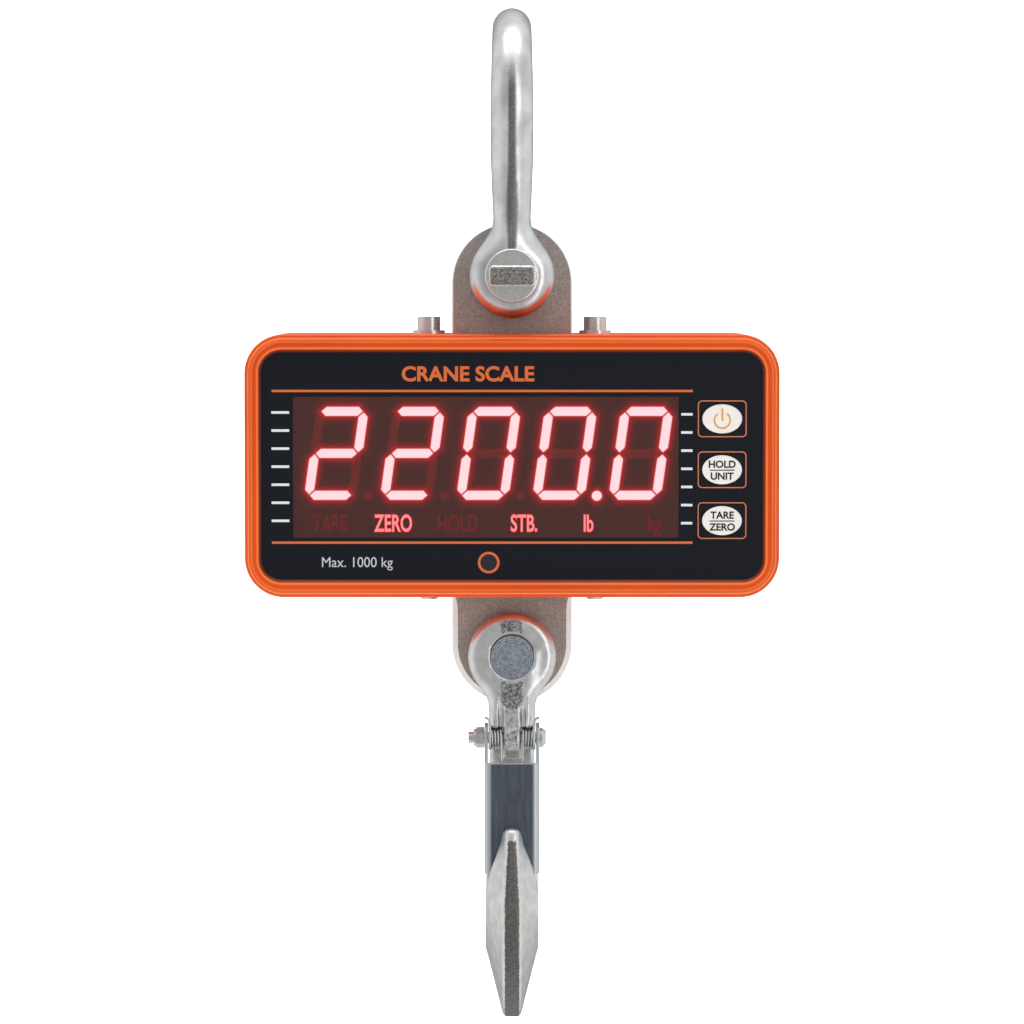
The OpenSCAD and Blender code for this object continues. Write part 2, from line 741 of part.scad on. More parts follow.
module buzzer() color("#111111") difference() {
  y_rod(6, main_y - 8, main_y, x = main_x0 + 12, z = case_z - 24);
  y_rod(1, main_y - 9, main_y - 6, x = main_x0 + 12, z = case_z - 24);
}

// ---------- battery ----------

module at_cover_screws()
  for (sx = [-1, 1] * (cover_w / 2 - cover_screw_in), sz = [-1, 1] * (cover_h / 2 - cover_screw_in))
    translate([sx, 0, bay_z + sz]) children();

module battery_tray() color("#2c2c2c") difference() {
  round_plate(bay_w + 2 * tray_wall, bay_h + 2 * tray_wall, 4, tray_y, back_in_y, 0, bay_z);
  round_plate(bay_w, bay_h, 3, tray_y + tray_wall, back_in_y + cut, 0, bay_z);
}

module battery_cells() color("royalblue") {
  y = back_in_y - battery_d / 2 - 0.5;
  for (k = [0:battery_count - 1]) translate([(k - (battery_count - 1) / 2) * battery_d, y, 0]) {
    z_rod(battery_d / 2 - 0.05, bay_z - battery_l / 2, bay_z + battery_l / 2 - 1.5);
    z_rod(battery_d * 0.16, bay_z + battery_l / 2 - 1.6, bay_z + battery_l / 2);
  }
}

module battery_gasket() color("black") difference() {
  round_plate(cover_w - 1, cover_h - 1, 5.5, back_y, back_y + cover_gasket_t, 0, bay_z);
  round_plate(bay_w, bay_h, 3, back_y - cut, back_y + cover_gasket_t + cut, 0, bay_z);
  at_cover_screws() y_rod(small_screw_r + bolt_gap, back_y - cut, back_y + cover_gasket_t + cut);
}

module battery_cover() color("#1d1f22") {
  outer_y = back_y + cover_gasket_t + cover_t;
  difference() {
    round_plate(cover_w, cover_h, 6, back_y + cover_gasket_t, outer_y, 0, bay_z);
    at_cover_screws() y_rod(small_screw_r + bolt_gap, back_y, outer_y + cut);
    for (k = [-3:3])
      round_plate(cover_w * 0.5, 1.6, 0.7, outer_y - 0.8, outer_y + cut, 0, bay_z + k * 6);
  }
}

module battery_cover_screws() color("silver")
  at_cover_screws()
    y_screw(small_screw_r, small_head_r, small_head_h, back_y + cover_gasket_t + cover_t, back_in_y - 2);

// ---------- charging socket ----------

module charge_socket() color("dimgray") translate([socket_x, 0, socket_z]) {
  mouth_y = back_y + socket_proud;
  floor_y = mouth_y - socket_bore_l;
  difference() {
    union() {
      y_rod(socket_thread_r, floor_y - 12, back_y + overlap);
      y_rod(collar_out_r, back_y, mouth_y);
    }
    y_rod(socket_bore_r, floor_y, mouth_y + cut);
    y_rod(jack_r, floor_y - 9, floor_y + cut);
  }
  y_rod(jack_pin_r, floor_y - 10, floor_y - 1);
}

module socket_nut() color("silver") difference() {
  y_rod(8, back_in_y - 3, back_in_y, x = socket_x, z = socket_z, $fn = 6);
  y_rod(socket_thread_r + run_gap, back_in_y - 4, back_in_y + cut, x = socket_x, z = socket_z);
}

// Rubber cap over the socket's collar. Its strap hinges on the anchor above.
module socket_cap() color("#18191b") translate([socket_x, 0, socket_z]) {
  r = collar_out_r + cap_gap;
  difference() {
    y_rod(r + cap_wall, back_y + cap_lift, strap_y + cap_t / 2);
    y_rod(r, back_y, strap_y - cap_t / 2);
  }
  block([-strap_w / 2, strap_y - cap_t / 2, 0], [strap_w / 2, strap_y + cap_t / 2, cap_hinge_up]);
  x_rod(cap_t / 2, -strap_w / 2, strap_w / 2, strap_y, cap_hinge_up);
}

module socket_cap_anchor() color("#18191b") translate([socket_x, 0, socket_z]) difference() {
  union() {
    block([-strap_w / 2, back_y, cap_hinge_up + cap_t / 2 + air],
          [strap_w / 2, strap_y + cap_t / 2, cap_hinge_up + 2.6]);
    y_rod(anchor_r, back_y, back_y + anchor_t, z = anchor_up);
  }
  y_rod(rivet_r + run_gap, back_y - cut, back_y + anchor_t + cut, z = anchor_up);
}

module socket_cap_rivet() color("silver") translate([socket_x, 0, socket_z + anchor_up]) {
  y_rod(rivet_r, back_in_y - 1, back_y + anchor_t + overlap);
  y_rod(rivet_head_r, back_y + anchor_t, back_y + anchor_t + rivet_head_h);
}

// ---------- hook ----------

// One flat slice of the hook at a height, y_in to y_out deep, with its widest point near y_in.
module hook_slice(z, y_in, y_out, half_in, half_out) {
  s = sign(y_out - y_in);
  translate([0, 0, z]) linear_extrude(0.4) polygon([
    [-half_in + 2, y_in], [half_in - 2, y_in], [half_in, y_in + s * 2.5], [half_out, y_out],
    [-half_out, y_out], [-half_in, y_in + s * 2.5]
  ]);
}

module hook_bowl() intersection() {
  translate([0, 0, bowl_z]) rotate([90, 0, 90]) rotate([0, 0, 180]) rotate_extrude(angle = 180)
    polygon([
      [bowl_r, -hook_w / 2 + 3], [bowl_r + 3.5, -hook_w / 2], [bowl_r + bowl_section + 1, -4],
      [bowl_r + bowl_section + 1, 4], [bowl_r + 3.5, hook_w / 2], [bowl_r, hook_w / 2 - 3]
    ]);
  x_rod(bowl_outer_r, -hook_w, hook_w, bowl_outer_y, bowl_outer_z);
}

module hook_body() color("lightgray") {
  half = hook_w / 2;
  edge = sqrt(bowl_outer_r * bowl_outer_r - pow(bowl_z - bowl_outer_z, 2));
  back_y0 = bowl_outer_y + edge;
  tip_y0 = bowl_outer_y - edge;
  neck_low = crotch_z - 20;
  neck_back = ear_out + 6;
  neck_drop = neck_low - bowl_z;
  spine_a = neck_low - neck_drop * 0.32;
  spine_b = neck_low - neck_drop * 0.65;
  tip_mid = bowl_z + bowl_r * 0.7;
  tip_top = bowl_z + bowl_r * 1.5;
  difference() {
    union() {
      for (s = [-1, 1]) y_rod(ear_r, s * ear_in, s * ear_out, z = lower_z);
      sideways(neck_w) difference() {
        polygon([
          [-ear_out, lower_z - 8], [ear_out, lower_z - 8], [ear_out, crotch_z - 6], [neck_back, neck_low],
          [-3, neck_low], [-6, shoulder_z - 3], [-8, shoulder_z],
          [-ear_out + 1.5, shoulder_z], [-ear_out, shoulder_z + 2]
        ]);
        polygon([
          [-ear_in, lower_z], [ear_in, lower_z], [ear_in, crotch_z + crotch_bevel],
          [ear_in - crotch_bevel, crotch_z], [-ear_in + crotch_bevel, crotch_z],
          [-ear_in, crotch_z + crotch_bevel]
        ]);
      }
      sideways(rib_t) polygon([
        [-ear_out + 2, crotch_z - 1], [0, crotch_z - 1], [0, neck_low + 1],
        [-8, neck_low + 1.5], [latch_y - 4, latch_z - 5.5], [latch_y - 5.5, latch_z]
      ]);
      hull() {
        hook_slice(neck_low, -3, neck_back, neck_w / 2, neck_w / 2 - 1);
        hook_slice(spine_a, bowl_r * 0.5, back_y0 - 12.6, half, half * 0.7);
      }
      hull() {
        hook_slice(spine_a, bowl_r * 0.5, back_y0 - 12.6, half, half * 0.7);
        hook_slice(spine_b, bowl_r * 0.86, back_y0 - 3.8, half, half * 0.55);
      }
      hull() {
        hook_slice(spine_b, bowl_r * 0.86, back_y0 - 3.8, half, half * 0.55);
        hook_slice(bowl_z, bowl_r, back_y0, half, 5.2);
      }
      hook_bowl();
      hull() {
        hook_slice(bowl_z - 0.4, -bowl_r, tip_y0, half, 8);
        hook_slice(tip_mid, -bowl_r - 1, tip_y0 + 2, half * 0.78, 5.5);
      }
      hull() {
        hook_slice(tip_mid, -bowl_r - 1, tip_y0 + 2, half * 0.78, 5.5);
        translate([0, (tip_y0 - bowl_r) / 2 + 1.5, tip_top - 4]) sphere(4, $fn = 24);
      }
    }
    y_rod(hole_r, -ear_out - cut, ear_out + cut, z = lower_z);
    x_rod(latch_bolt_d / 2 + run_gap, -neck_w, neck_w, latch_y, latch_z);
    for (s = [-1, 1])
      x_rod(spring_r + spring_wire / 2 + spring_gap, s * rib_t / 2, s * neck_w, latch_y, latch_z);
    hook_roll_axis(roll_pin_r + run_gap, ear_r * 2);
  }
}

// The roll pin's hole crosses the rear ear and just bites the load pin.
module hook_roll_axis(r, l)
  x_rod(r, -l / 2, l / 2, (ear_in + ear_out) / 2, lower_z + pin_r);

module hook_pin() color("slategray") difference() {
  y_rod(pin_r, -ear_out - 0.6, ear_out + 0.6, z = lower_z);
  hook_roll_axis(roll_pin_r + run_gap, hook_ear_d);
}

module hook_roll_pin() color("gray") {
  l = 2 * sqrt(ear_r * ear_r - pin_r * pin_r) - 1;
  difference() {
    hook_roll_axis(roll_pin_r, l);
    hook_roll_axis(roll_pin_r - roll_wall, l + 2);
    translate([-l, (ear_in + ear_out) / 2 - roll_slot / 2, lower_z + pin_r]) cube([2 * l, roll_slot, 4]);
  }
}

module hook_latch() color("slategray") translate([0, latch_y, latch_z]) {
  half = latch_w / 2;
  difference() {
    union() {
      block([-half, -latch_face, -latch_reach], [half, -latch_face + latch_t, -latch_web_top]);
      for (sx = [-1, 1]) translate([sx * (half - latch_t / 2), 0, 0]) sideways(latch_t) {
        circle(latch_ear_r);
        polygon([
          [-latch_face, -latch_reach], [-latch_face + 4.5, -latch_reach], [-2, -latch_reach + 8], [0.5, -24],
          [latch_ear_r * cos(20), -latch_ear_r * sin(20)], [0, 0], [-latch_ear_r, 0], [-latch_face, -6]
        ]);
      }
    }
    x_rod(latch_bolt_d / 2 + run_gap, -latch_w, latch_w);
  }
}

module latch_bolt() color("silver") translate([0, latch_y, latch_z]) {
  x = latch_w / 2 + slip;
  x_rod(latch_bolt_d / 2, -x - nut_t - 2.4, x + 1);
  x_rod(latch_head_r, x, x + 1);
  translate([x + 1, 0, 0]) rotate([0, 90, 0]) cylinder(h = 1.7, r1 = latch_head_r, r2 = 2.8);
}

module latch_nut() color("silver") translate([0, latch_y, latch_z]) {
  x = latch_w / 2 + slip;
  difference() {
    union() {
      x_rod(nut_flat / sqrt(3), -x - 3.6, -x, $fn = 6);
      x_rod(nut_flat / 2 - 0.3, -x - nut_t, -x - 3.5);
    }
    x_rod(latch_bolt_d / 2 + run_gap, -x - nut_t - cut, cut - x);
  }
}

// Double torsion spring: each outer leg bears on the neck, a coil lies on each side of the rib, and the
// bridge between the coils presses on the back of the latch.
module latch_spring() color("silver") translate([0, latch_y, latch_z]) {
  step = 30;
  turned = 990;
  x_in = rib_t / 2 + spring_wire / 2 + spring_gap;
  x_out = x_in + spring_pitch * turned / 360;
  neck_y = -ear_out - latch_y - spring_wire / 2 - 0.15;
  leg = [
    [x_out + 4, neck_y, 9.6], [x_out + 2, neck_y, 9.4], [x_out + 0.3, neck_y, 7.8],
    [x_out, neck_y, 5], [x_out, neck_y, -1], [x_out, neck_y + 1.2, -3.8], [x_out, -3, -spring_r]
  ];
  coil = [
    for (a = [0:step:turned])
      [x_out - spring_pitch * a / 360, spring_r * cos(a - 90), spring_r * sin(a - 90)]
  ];
  drop = [[x_in, -spring_r, 2.5 - spring_bridge], [x_in - 0.7, -spring_r, 0.7 - spring_bridge],
          [x_in - 2.5, -spring_r, -spring_bridge]];
  half = concat(leg, coil, drop);
  other = [for (i = [len(half) - 1:-1:0]) [-half[i][0], half[i][1], half[i][2]]];
  wire(concat(half, other), spring_wire / 2, [0, -1, 0], 6);
}

shackle_bow();
shackle_pin();
load_cell();
gauge_covers();
gauge_lead();
hanger_bracket();
bracket_screws();
top_seal();
top_washers();
top_screws();
guide_plate();
bottom_seal();
bottom_screws();
front_case();
rear_case();
case_gasket();
case_screws();
keypad_panel();
display_window();
receiver_lens();
power_key();
hold_key();
tare_key();
digit_modules();
annunciator_bar();
display_board();
board_spacers();
board_screws();
key_switches();
receiver_sensor();
main_board();
main_board_screws();
buzzer();
battery_tray();
battery_cells();
battery_gasket();
battery_cover();
battery_cover_screws();
charge_socket();
socket_nut();
socket_cap();
socket_cap_anchor();
socket_cap_rivet();
hook_body();
hook_pin();
hook_roll_pin();
hook_latch();
latch_bolt();
latch_nut();
latch_spring();
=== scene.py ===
# Digital crane scale, hung from a bow shackle, with a latched clevis hook below.
# Metres, in the model's frame: Z up the load line, -Y towards the display, origin inside the bow's crown.
# Shapes are worked out in millimetres and turned to metres as each mesh is made.
import math

import bmesh
import bpy
import numpy as np
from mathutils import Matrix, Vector
from mathutils.geometry import tessellate_polygon


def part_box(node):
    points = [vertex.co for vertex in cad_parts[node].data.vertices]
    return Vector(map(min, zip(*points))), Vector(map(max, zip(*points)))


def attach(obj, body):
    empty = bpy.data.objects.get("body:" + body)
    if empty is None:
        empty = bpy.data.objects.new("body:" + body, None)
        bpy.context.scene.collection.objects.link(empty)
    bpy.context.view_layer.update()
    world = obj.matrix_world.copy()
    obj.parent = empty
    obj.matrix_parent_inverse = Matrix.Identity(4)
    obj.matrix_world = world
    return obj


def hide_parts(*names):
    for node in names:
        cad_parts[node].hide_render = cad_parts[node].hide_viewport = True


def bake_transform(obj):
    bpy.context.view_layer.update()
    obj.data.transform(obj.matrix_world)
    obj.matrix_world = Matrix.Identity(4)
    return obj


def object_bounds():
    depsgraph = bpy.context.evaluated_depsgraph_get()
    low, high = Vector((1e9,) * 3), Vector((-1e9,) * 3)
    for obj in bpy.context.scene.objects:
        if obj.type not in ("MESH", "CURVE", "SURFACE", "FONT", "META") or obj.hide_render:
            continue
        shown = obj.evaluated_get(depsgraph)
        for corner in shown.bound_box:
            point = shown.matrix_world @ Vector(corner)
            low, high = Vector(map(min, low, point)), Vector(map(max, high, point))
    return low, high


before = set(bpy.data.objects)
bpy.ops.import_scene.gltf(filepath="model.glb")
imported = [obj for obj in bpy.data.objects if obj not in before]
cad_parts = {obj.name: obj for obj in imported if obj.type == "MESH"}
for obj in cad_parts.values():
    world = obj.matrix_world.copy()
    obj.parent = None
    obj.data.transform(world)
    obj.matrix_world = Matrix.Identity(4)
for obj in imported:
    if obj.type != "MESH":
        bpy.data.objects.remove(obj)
cad_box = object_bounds()
MM = 0.001


def node_box(node):
    """Lowest and highest corner of a node, in millimetres."""
    low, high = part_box(node)
    return np.array(low) / MM, np.array(high) / MM


# ---------------------------------------------------------------------------
# Camera, white paper and four soft boxes, two of them tall and narrow. The scale hangs free, so the paper
# is well below and behind it. Bright steel mirrors the tent round the table and not the paper: white at the
# sides, greyer in front and behind, which gives it a dark middle and edges that stand out from the white.
case_low, case_high = node_box("rear_case")
low, high = (np.array(corner) / MM for corner in cad_box)
front_face_y, aim_rise = -38, 3.8
look_at = Vector((0, front_face_y, low[2] / 2 + high[2] / 2 + aim_rise)) * MM
camera = bpy.data.objects.new("camera", bpy.data.cameras.new("camera"))
camera.data.lens = 146.5
camera.data.sensor_width = 36
camera.location = look_at + Vector((0, -1.8, 0.096))
camera.rotation_euler = (look_at - camera.location).to_track_quat("-Z", "Y").to_euler()
bpy.context.scene.collection.objects.link(camera)
bpy.context.scene.camera = camera
bpy.context.scene.view_settings.view_transform = "Standard"


def linear(code):
    """Turns an sRGB hex colour such as "E2571B" to the linear values that a shader takes."""
    srgb = np.array([int(code[i:i + 2], 16) for i in (0, 2, 4)]) / 255
    value = np.where(srgb <= 0.04045, srgb / 12.92, ((srgb + 0.055) / 1.055) ** 2.4)
    return (*value, 1.0)


def add(tree, kind, links=None, stops=(), **settings):
    """Adds a shader node. settings are its properties; links are its inputs, each a value, a socket or a
    node, which stands for its first output; stops are a ramp's places and colours, in order."""
    node = tree.nodes.new("ShaderNode" + kind)
    for name, value in settings.items():
        setattr(node, name, value)
    for name, value in (links or {}).items():
        value = value.outputs[0] if isinstance(value, bpy.types.Node) else value
        if isinstance(value, bpy.types.NodeSocket):
            tree.links.new(value, node.inputs[name])
        else:
            node.inputs[name].default_value = value
    for number, (place, colour) in enumerate(stops):
        stop = node.color_ramp.elements[number] if number < 2 else node.color_ramp.elements.new(place)
        stop.position = place
        stop.color = linear(colour) if isinstance(colour, str) else (*colour, 1)
    return node


def material(name, **sockets):
    """A new Principled material with these socket values, as (material, node tree, shader)."""
    made = bpy.data.materials.new(name)
    made.use_nodes = True
    shader = made.node_tree.nodes["Principled BSDF"]
    for socket, value in sockets.items():
        shader.inputs[socket.replace("_", " ")].default_value = value
    return made, made.node_tree, shader


def feed(shader, **sources):
    """Links nodes, by their first output, or sockets to the shader's inputs of these names."""
    for name, source in sources.items():
        source = source.outputs[0] if isinstance(source, bpy.types.Node) else source
        shader.id_data.links.new(source, shader.inputs[name.replace("_", " ")])


def mesh_piece(name, points, faces, surface, smooth=True):
    """A mesh object from points in millimetres and faces as index arrays, with one material."""
    mesh = bpy.data.meshes.new(name)
    mesh.from_pydata((np.asarray(points, float) * MM).tolist(), [], np.asarray(faces).tolist())
    mesh.materials.append(surface)
    mesh.polygons.foreach_set("use_smooth", np.full(len(mesh.polygons), smooth))
    mesh.update()
    piece = bpy.data.objects.new(name, mesh)
    bpy.context.scene.collection.objects.link(piece)
    return piece


paper, tree, shader = material("matt_white_paper", Base_Color=linear("F6F6F6"), Roughness=0.9)
fibre = add(tree, "TexNoise", {"Scale": 900.0, "Vector": add(tree, "TexCoord").outputs["Object"]})
shade = add(tree, "Bump", {"Strength": 0.05, "Distance": 0.0002, "Height": fibre})
feed(shader, Normal=shade)

floor_z, paper_bend, paper_front, paper_back, paper_half = low[2] - 170, 900, -1500, 2300, 1100
turn = np.linspace(0, math.pi / 2, 25)
sweep_y = np.concatenate([[paper_front], paper_back - paper_bend * (1 - np.sin(turn)), [paper_back]])
sweep_z = np.concatenate([[floor_z], floor_z + paper_bend * (1 - np.cos(turn)), [floor_z + 5000]])
sweep_x = np.array([-paper_half, paper_half])
grid_y, grid_x = np.meshgrid(np.arange(len(sweep_y)), [0, 1], indexing="ij")
points = np.stack([sweep_x[grid_x], sweep_y[grid_y], sweep_z[grid_y]], axis=-1).reshape(-1, 3)
first = np.arange(len(sweep_y) - 1) * 2
sweep = mesh_piece("paper_sweep", points, np.stack([first, first + 1, first + 3, first + 2], axis=1), paper)
sweep.visible_glossy = False

world = bpy.data.worlds.new("tent")
bpy.context.scene.world = world
world.use_nodes = True
sky = world.node_tree
direction = add(sky, "SeparateXYZ", {0: add(sky, "TexCoord").outputs["Generated"]})
depth_share = add(sky, "MapRange", {0: direction.outputs["Y"], 1: -1.0, 2: 1.0})
greys = ((0.1, 0.55), (0.34, 1.0), (0.6, 1.0), (0.8, 0.95), (0.93, 0.5))
tent = add(sky, "ValToRGB", {0: depth_share}, stops=(
    (0, (0.5, 0.5, 0.51)), *((place, (grey,) * 3) for place, grey in greys), (1, (0.24, 0.24, 0.245)),
))
seen = add(sky, "Mix", {0: add(sky, "LightPath").outputs["Is Camera Ray"], 6: tent,
                        7: (1, 1, 1, 1)}, data_type="RGBA")
sky.links.new(seen.outputs[2], sky.nodes["Background"].inputs["Color"])
sky.nodes["Background"].inputs["Strength"].default_value = 0.95

for name, place, width, tall, power in (
    ("key_box", (-1.2, -0.85, 0.45), 0.6, 2.4, 8.0),
    ("fill_box", (0.85, -1.2, 0.1), 0.36, 2.4, 6.0),
    ("top_box", (0.0, -0.2, 1.2), 1.4, 0.6, 5.0),
    ("paper_box", (0.0, 1.1, 1.6), 2.4, 2.4, 75.0),
):
    lamp = bpy.data.objects.new(name, bpy.data.lights.new(name, "AREA"))
    lamp.data.shape = "RECTANGLE"
    lamp.data.size, lamp.data.size_y = width, tall
    lamp.visible_glossy = name in ("fill_box", "top_box")
    lamp.data.energy = power
    lamp.location = Vector(place) + look_at
    aim = look_at if name != "paper_box" else look_at + Vector((0, 2.0, -0.4))
    lamp.rotation_euler = (aim - lamp.location).to_track_quat("-Z", "Y").to_euler()
    bpy.context.scene.collection.objects.link(lamp)


# ---------------------------------------------------------------------------
# Shackle bow: a round bar of alloy steel, bent hot and drop forged with an eye at each end, tumbled and
# plated bright. The dies part in the plane of the bow, so the trimmed flash runs as a dark, rough stripe
# down the middle of the bar, inside and outside.
def skin(name, field, low, high, step, surface):
    """Meshes the surface where field(x, y, z) is zero, in a box, with a grid of that step. By surface nets:
    each cell that the surface crosses gets one vertex at the mean of its edges' crossings, which then steps
    along the field's gradient onto the surface, and each crossed edge gets a quad of its four cells."""
    axes = [np.arange(a, b + step, step) for a, b in zip(low, high)]
    value = field(*np.meshgrid(*axes, indexing="ij", sparse=True)) + np.zeros([len(a) for a in axes])
    inside = value < 0
    cells = [len(a) - 1 for a in axes]
    total, count, crossings = np.zeros((*cells, 3)), np.zeros(cells), []
    for axis in range(3):
        a, b = np.moveaxis(value, axis, 0)[:-1], np.moveaxis(value, axis, 0)[1:]
        a, b = np.moveaxis(a, 0, axis), np.moveaxis(b, 0, axis)
        crossed = (a < 0) != (b < 0)
        share = np.where(crossed, a / np.where(crossed, a - b, 1), 0)
        at = [axes[k][(slice(None, -1) if k == axis else slice(None))] for k in range(3)]
        place = np.stack(np.meshgrid(*at, indexing="ij"), axis=-1)
        place[..., axis] += share * step
        place *= crossed[..., None]
        others = [k for k in range(3) if k != axis]
        for first in (0, 1):
            for second in (0, 1):
                pick = [slice(None)] * 3
                pick[others[0]] = slice(first, first + cells[others[0]])
                pick[others[1]] = slice(second, second + cells[others[1]])
                total += place[tuple(pick)]
                count += crossed[tuple(pick)]
        crossings.append((crossed, a < 0))
    used = count > 0
    index = np.full(cells, -1)
    index[used] = np.arange(used.sum())
    start = total[used] / count[used][:, None]
    points = start.copy()
    nudge = step * 0.02
    for _ in range(5):
        here = field(*points.T)
        slope = np.stack([
            (field(*(points + nudge * side).T) - field(*(points - nudge * side).T)) / (2 * nudge)
            for side in np.eye(3)
        ], axis=1)
        points -= slope * (here / np.maximum((slope**2).sum(1), 0.05))[:, None]
        points = np.clip(points, start - step * 0.9, start + step * 0.9)
    quads = []
    for axis, (crossed, outward) in enumerate(crossings):
        others = [k for k in range(3) if k != axis]
        inner = [slice(None)] * 3
        for k in others:
            inner[k] = slice(1, -1)
        at = np.argwhere(crossed[tuple(inner)])
        up = outward[tuple(inner)][tuple(at.T)]
        corner = [index[tuple((at + offset).T)] for offset in (
            0,
            np.eye(3, dtype=int)[others[0]],
            np.eye(3, dtype=int)[others[0]] + np.eye(3, dtype=int)[others[1]],
            np.eye(3, dtype=int)[others[1]],
        )]
        quad = np.stack(corner, axis=1)
        turn_over = up if axis == 1 else ~up
        quad[turn_over] = quad[turn_over][:, ::-1]
        quads.append(quad)
    return mesh_piece(name, points, np.concatenate(quads), surface)


def soft_min(a, b, k):
    """The lesser of two distances, blended over k, so two shapes join in a fillet of about that size."""
    share = np.clip(0.5 + 0.5 * (b - a) / k, 0, 1)
    return b + (a - b) * share - k * share * (1 - share)


def soft_max(a, b, k):
    """The greater of two distances, blended over k: the edge where shapes meet is rounded by about k."""
    return -soft_min(-a, -b, k)


def round_slab(across, along, half_across, half_along, r):
    """Distance to a rectangle with corners of radius r, from the distances across and along its middle."""
    qa, ql = across - half_across + r, along - half_along + r
    return np.hypot(np.maximum(qa, 0), np.maximum(ql, 0)) + np.minimum(np.maximum(qa, ql), 0) - r


bow_low, bow_high = node_box("shackle_bow")
pin_low, pin_high = node_box("shackle_pin")
cell_low, cell_high = node_box("load_cell")
eye_r = bow_high[0]
upper_z = bow_low[2] + eye_r
bar_r = bow_high[2] / 2
crown_z = bar_r - (bow_high[1] - bar_r)
crown_r = bow_high[1] - bar_r
eye_in = cell_high[1] + 1
eye_out = 2 * eye_in + 2 * bar_r + 0.8 - eye_in
leg_y = (eye_in + eye_out) / 2
turn_at = math.radians(20)
bend_r = 40
collar_step = 2.25
pin_r = pin_high[0] - collar_step
bar_heights = [upper_z + 20, upper_z + 30, upper_z + 50, -24, 3, 17]
bar_halves = [7.9, 8.4, 9.25, 9.3, 8.7, 8.4]


def bow_line(y, z):
    """Distance to the bow's centre line in its own plane: a crown arc that runs 20 degrees past level, a
    straight taper, an arc turned the other way, and the upright leg. y is taken as positive, by symmetry."""
    y = np.abs(y)
    a = np.array([crown_r * math.cos(turn_at), crown_z - crown_r * math.sin(turn_at)])
    down = np.array([-math.sin(turn_at), -math.cos(turn_at)])
    run = (crown_r - leg_y - (crown_r + bend_r) * (1 - math.cos(turn_at))) / math.sin(turn_at)
    b = a + run * down
    c = b + bend_r * np.array([math.cos(turn_at), -math.sin(turn_at)])
    along = np.clip(((y - a[0]) * down[0] + (z - a[1]) * down[1]), 0, run)
    straight = np.hypot(y - a[0] - along * down[0], z - a[1] - along * down[1])
    crown = np.where(
        np.arctan2(z - crown_z, y) > -turn_at, np.abs(np.hypot(y, z - crown_z) - crown_r), 1e3
    )
    angle = np.arctan2(c[1] - z, c[0] - y)
    bend = np.where(
        (angle > -turn_at) & (angle < 0), np.abs(np.hypot(y - c[0], z - c[1]) - bend_r), 1e3
    )
    leg = np.hypot(y - leg_y, z - np.clip(z, upper_z + 12, c[1]))
    return np.minimum(np.minimum(crown, straight), np.minimum(bend, leg))


def bow_field(x, y, z):
    """The bar round its centre line, a little wider across half way up, joined in a broad fillet to two
    round eyes with bellied edges. The trimmed flash stands a hair proud in the plane x = 0, and each eye
    is drilled for the pin."""
    line = bow_line(y, z)
    bar = (np.hypot(line, x * bar_r / np.interp(z, bar_heights, bar_halves)) - bar_r) * 0.95
    out = np.hypot(x, z - upper_z)
    eye = round_slab(out, np.abs(np.abs(y) - leg_y), eye_r, (eye_out - eye_in) / 2, 7.5)
    steel = soft_min(bar, eye, 9.0)
    steel = steel - 0.2 * np.exp(-((x / 2.3) ** 4)) * np.clip((-2 - z) / 10, 0, 1)
    steel = soft_max(steel, np.minimum(eye_in - np.abs(y), upper_z + 30 - z), 1.0)
    return soft_max(steel, pin_r + 0.05 - out, 0.8)


plated, tree, shader = material("bright_plated_forging", Metallic=1.0, Roughness=0.28)
# A tumbled forging under thin plating: soft, slightly rippled mirror, with a rough grey trim line.
spot = add(tree, "TexCoord").outputs["Object"]
ripple = add(tree, "TexNoise", {"Vector": spot, "Scale": 120.0, "Detail": 2.0})
grain = add(tree, "TexNoise", {"Vector": spot, "Scale": 1400.0, "Detail": 3.0})
trim = add(tree, "Attribute", attribute_name="trim")
ragged = add(tree, "Math", {0: trim.outputs["Fac"], 1: grain}, operation="ADD")
stripe = add(tree, "MapRange", {0: ragged, 1: 0.6, 2: 1.4})
tone = add(tree, "ValToRGB", {0: ripple}, stops=((0.3, "BEC0C1"), (0.7, "DDDEDE")))
scale_mark = add(tree, "ValToRGB", {0: grain}, stops=((0.35, "686664"), (0.65, "8E8C8A")))
shown = add(tree, "Mix", {0: stripe, 6: tone, 7: scale_mark}, data_type="RGBA")
feed(shader, Base_Color=shown.outputs[2])
rough = add(tree, "MapRange", {0: stripe, 3: 0.3, 4: 0.45})
feed(shader, Roughness=rough)
dent = add(tree, "Bump", {"Strength": 0.03, "Distance": 0.0012, "Height": ripple})
deep = add(tree, "Math", {0: grain, 1: stripe}, operation="MULTIPLY")
pits = add(tree, "Bump", {"Strength": 0.7, "Distance": 0.0003, "Height": deep, "Normal": dent})
feed(shader, Normal=pits)


def paint(piece, name, value):
    """Stores one number a vertex as an attribute. value is worked out from the points in millimetres."""
    points = np.zeros(len(piece.data.vertices) * 3)
    piece.data.vertices.foreach_get("co", points)
    points = points.reshape(-1, 3) / MM
    made = piece.data.attributes.new(name, "FLOAT", "POINT")
    made.data.foreach_set("value", value(*points.T).astype(np.float32))


bow = skin("bow_forging", bow_field, bow_low - 1.5, bow_high + 1.5, 0.72, plated)


def bow_trim(x, y, z):
    """The trimmed stripe: full on the parting plane, fading out at half its width, which swells at the
    shoulders; the turned faces round the pin have none."""
    half = 1.7 + 0.9 * np.exp(-(((z - upper_z - 30) / 14) ** 2))
    mark = np.clip(1.3 - 0.8 * (np.abs(x) / half) ** 2, 0, 1) * np.clip((-3 - z) / 16, 0, 1)
    return mark * (np.hypot(x, z - upper_z) > pin_r + 1.5) * (z > upper_z)


paint(bow, "trim", bow_trim)
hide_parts("shackle_bow")
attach(bow, "shackle")

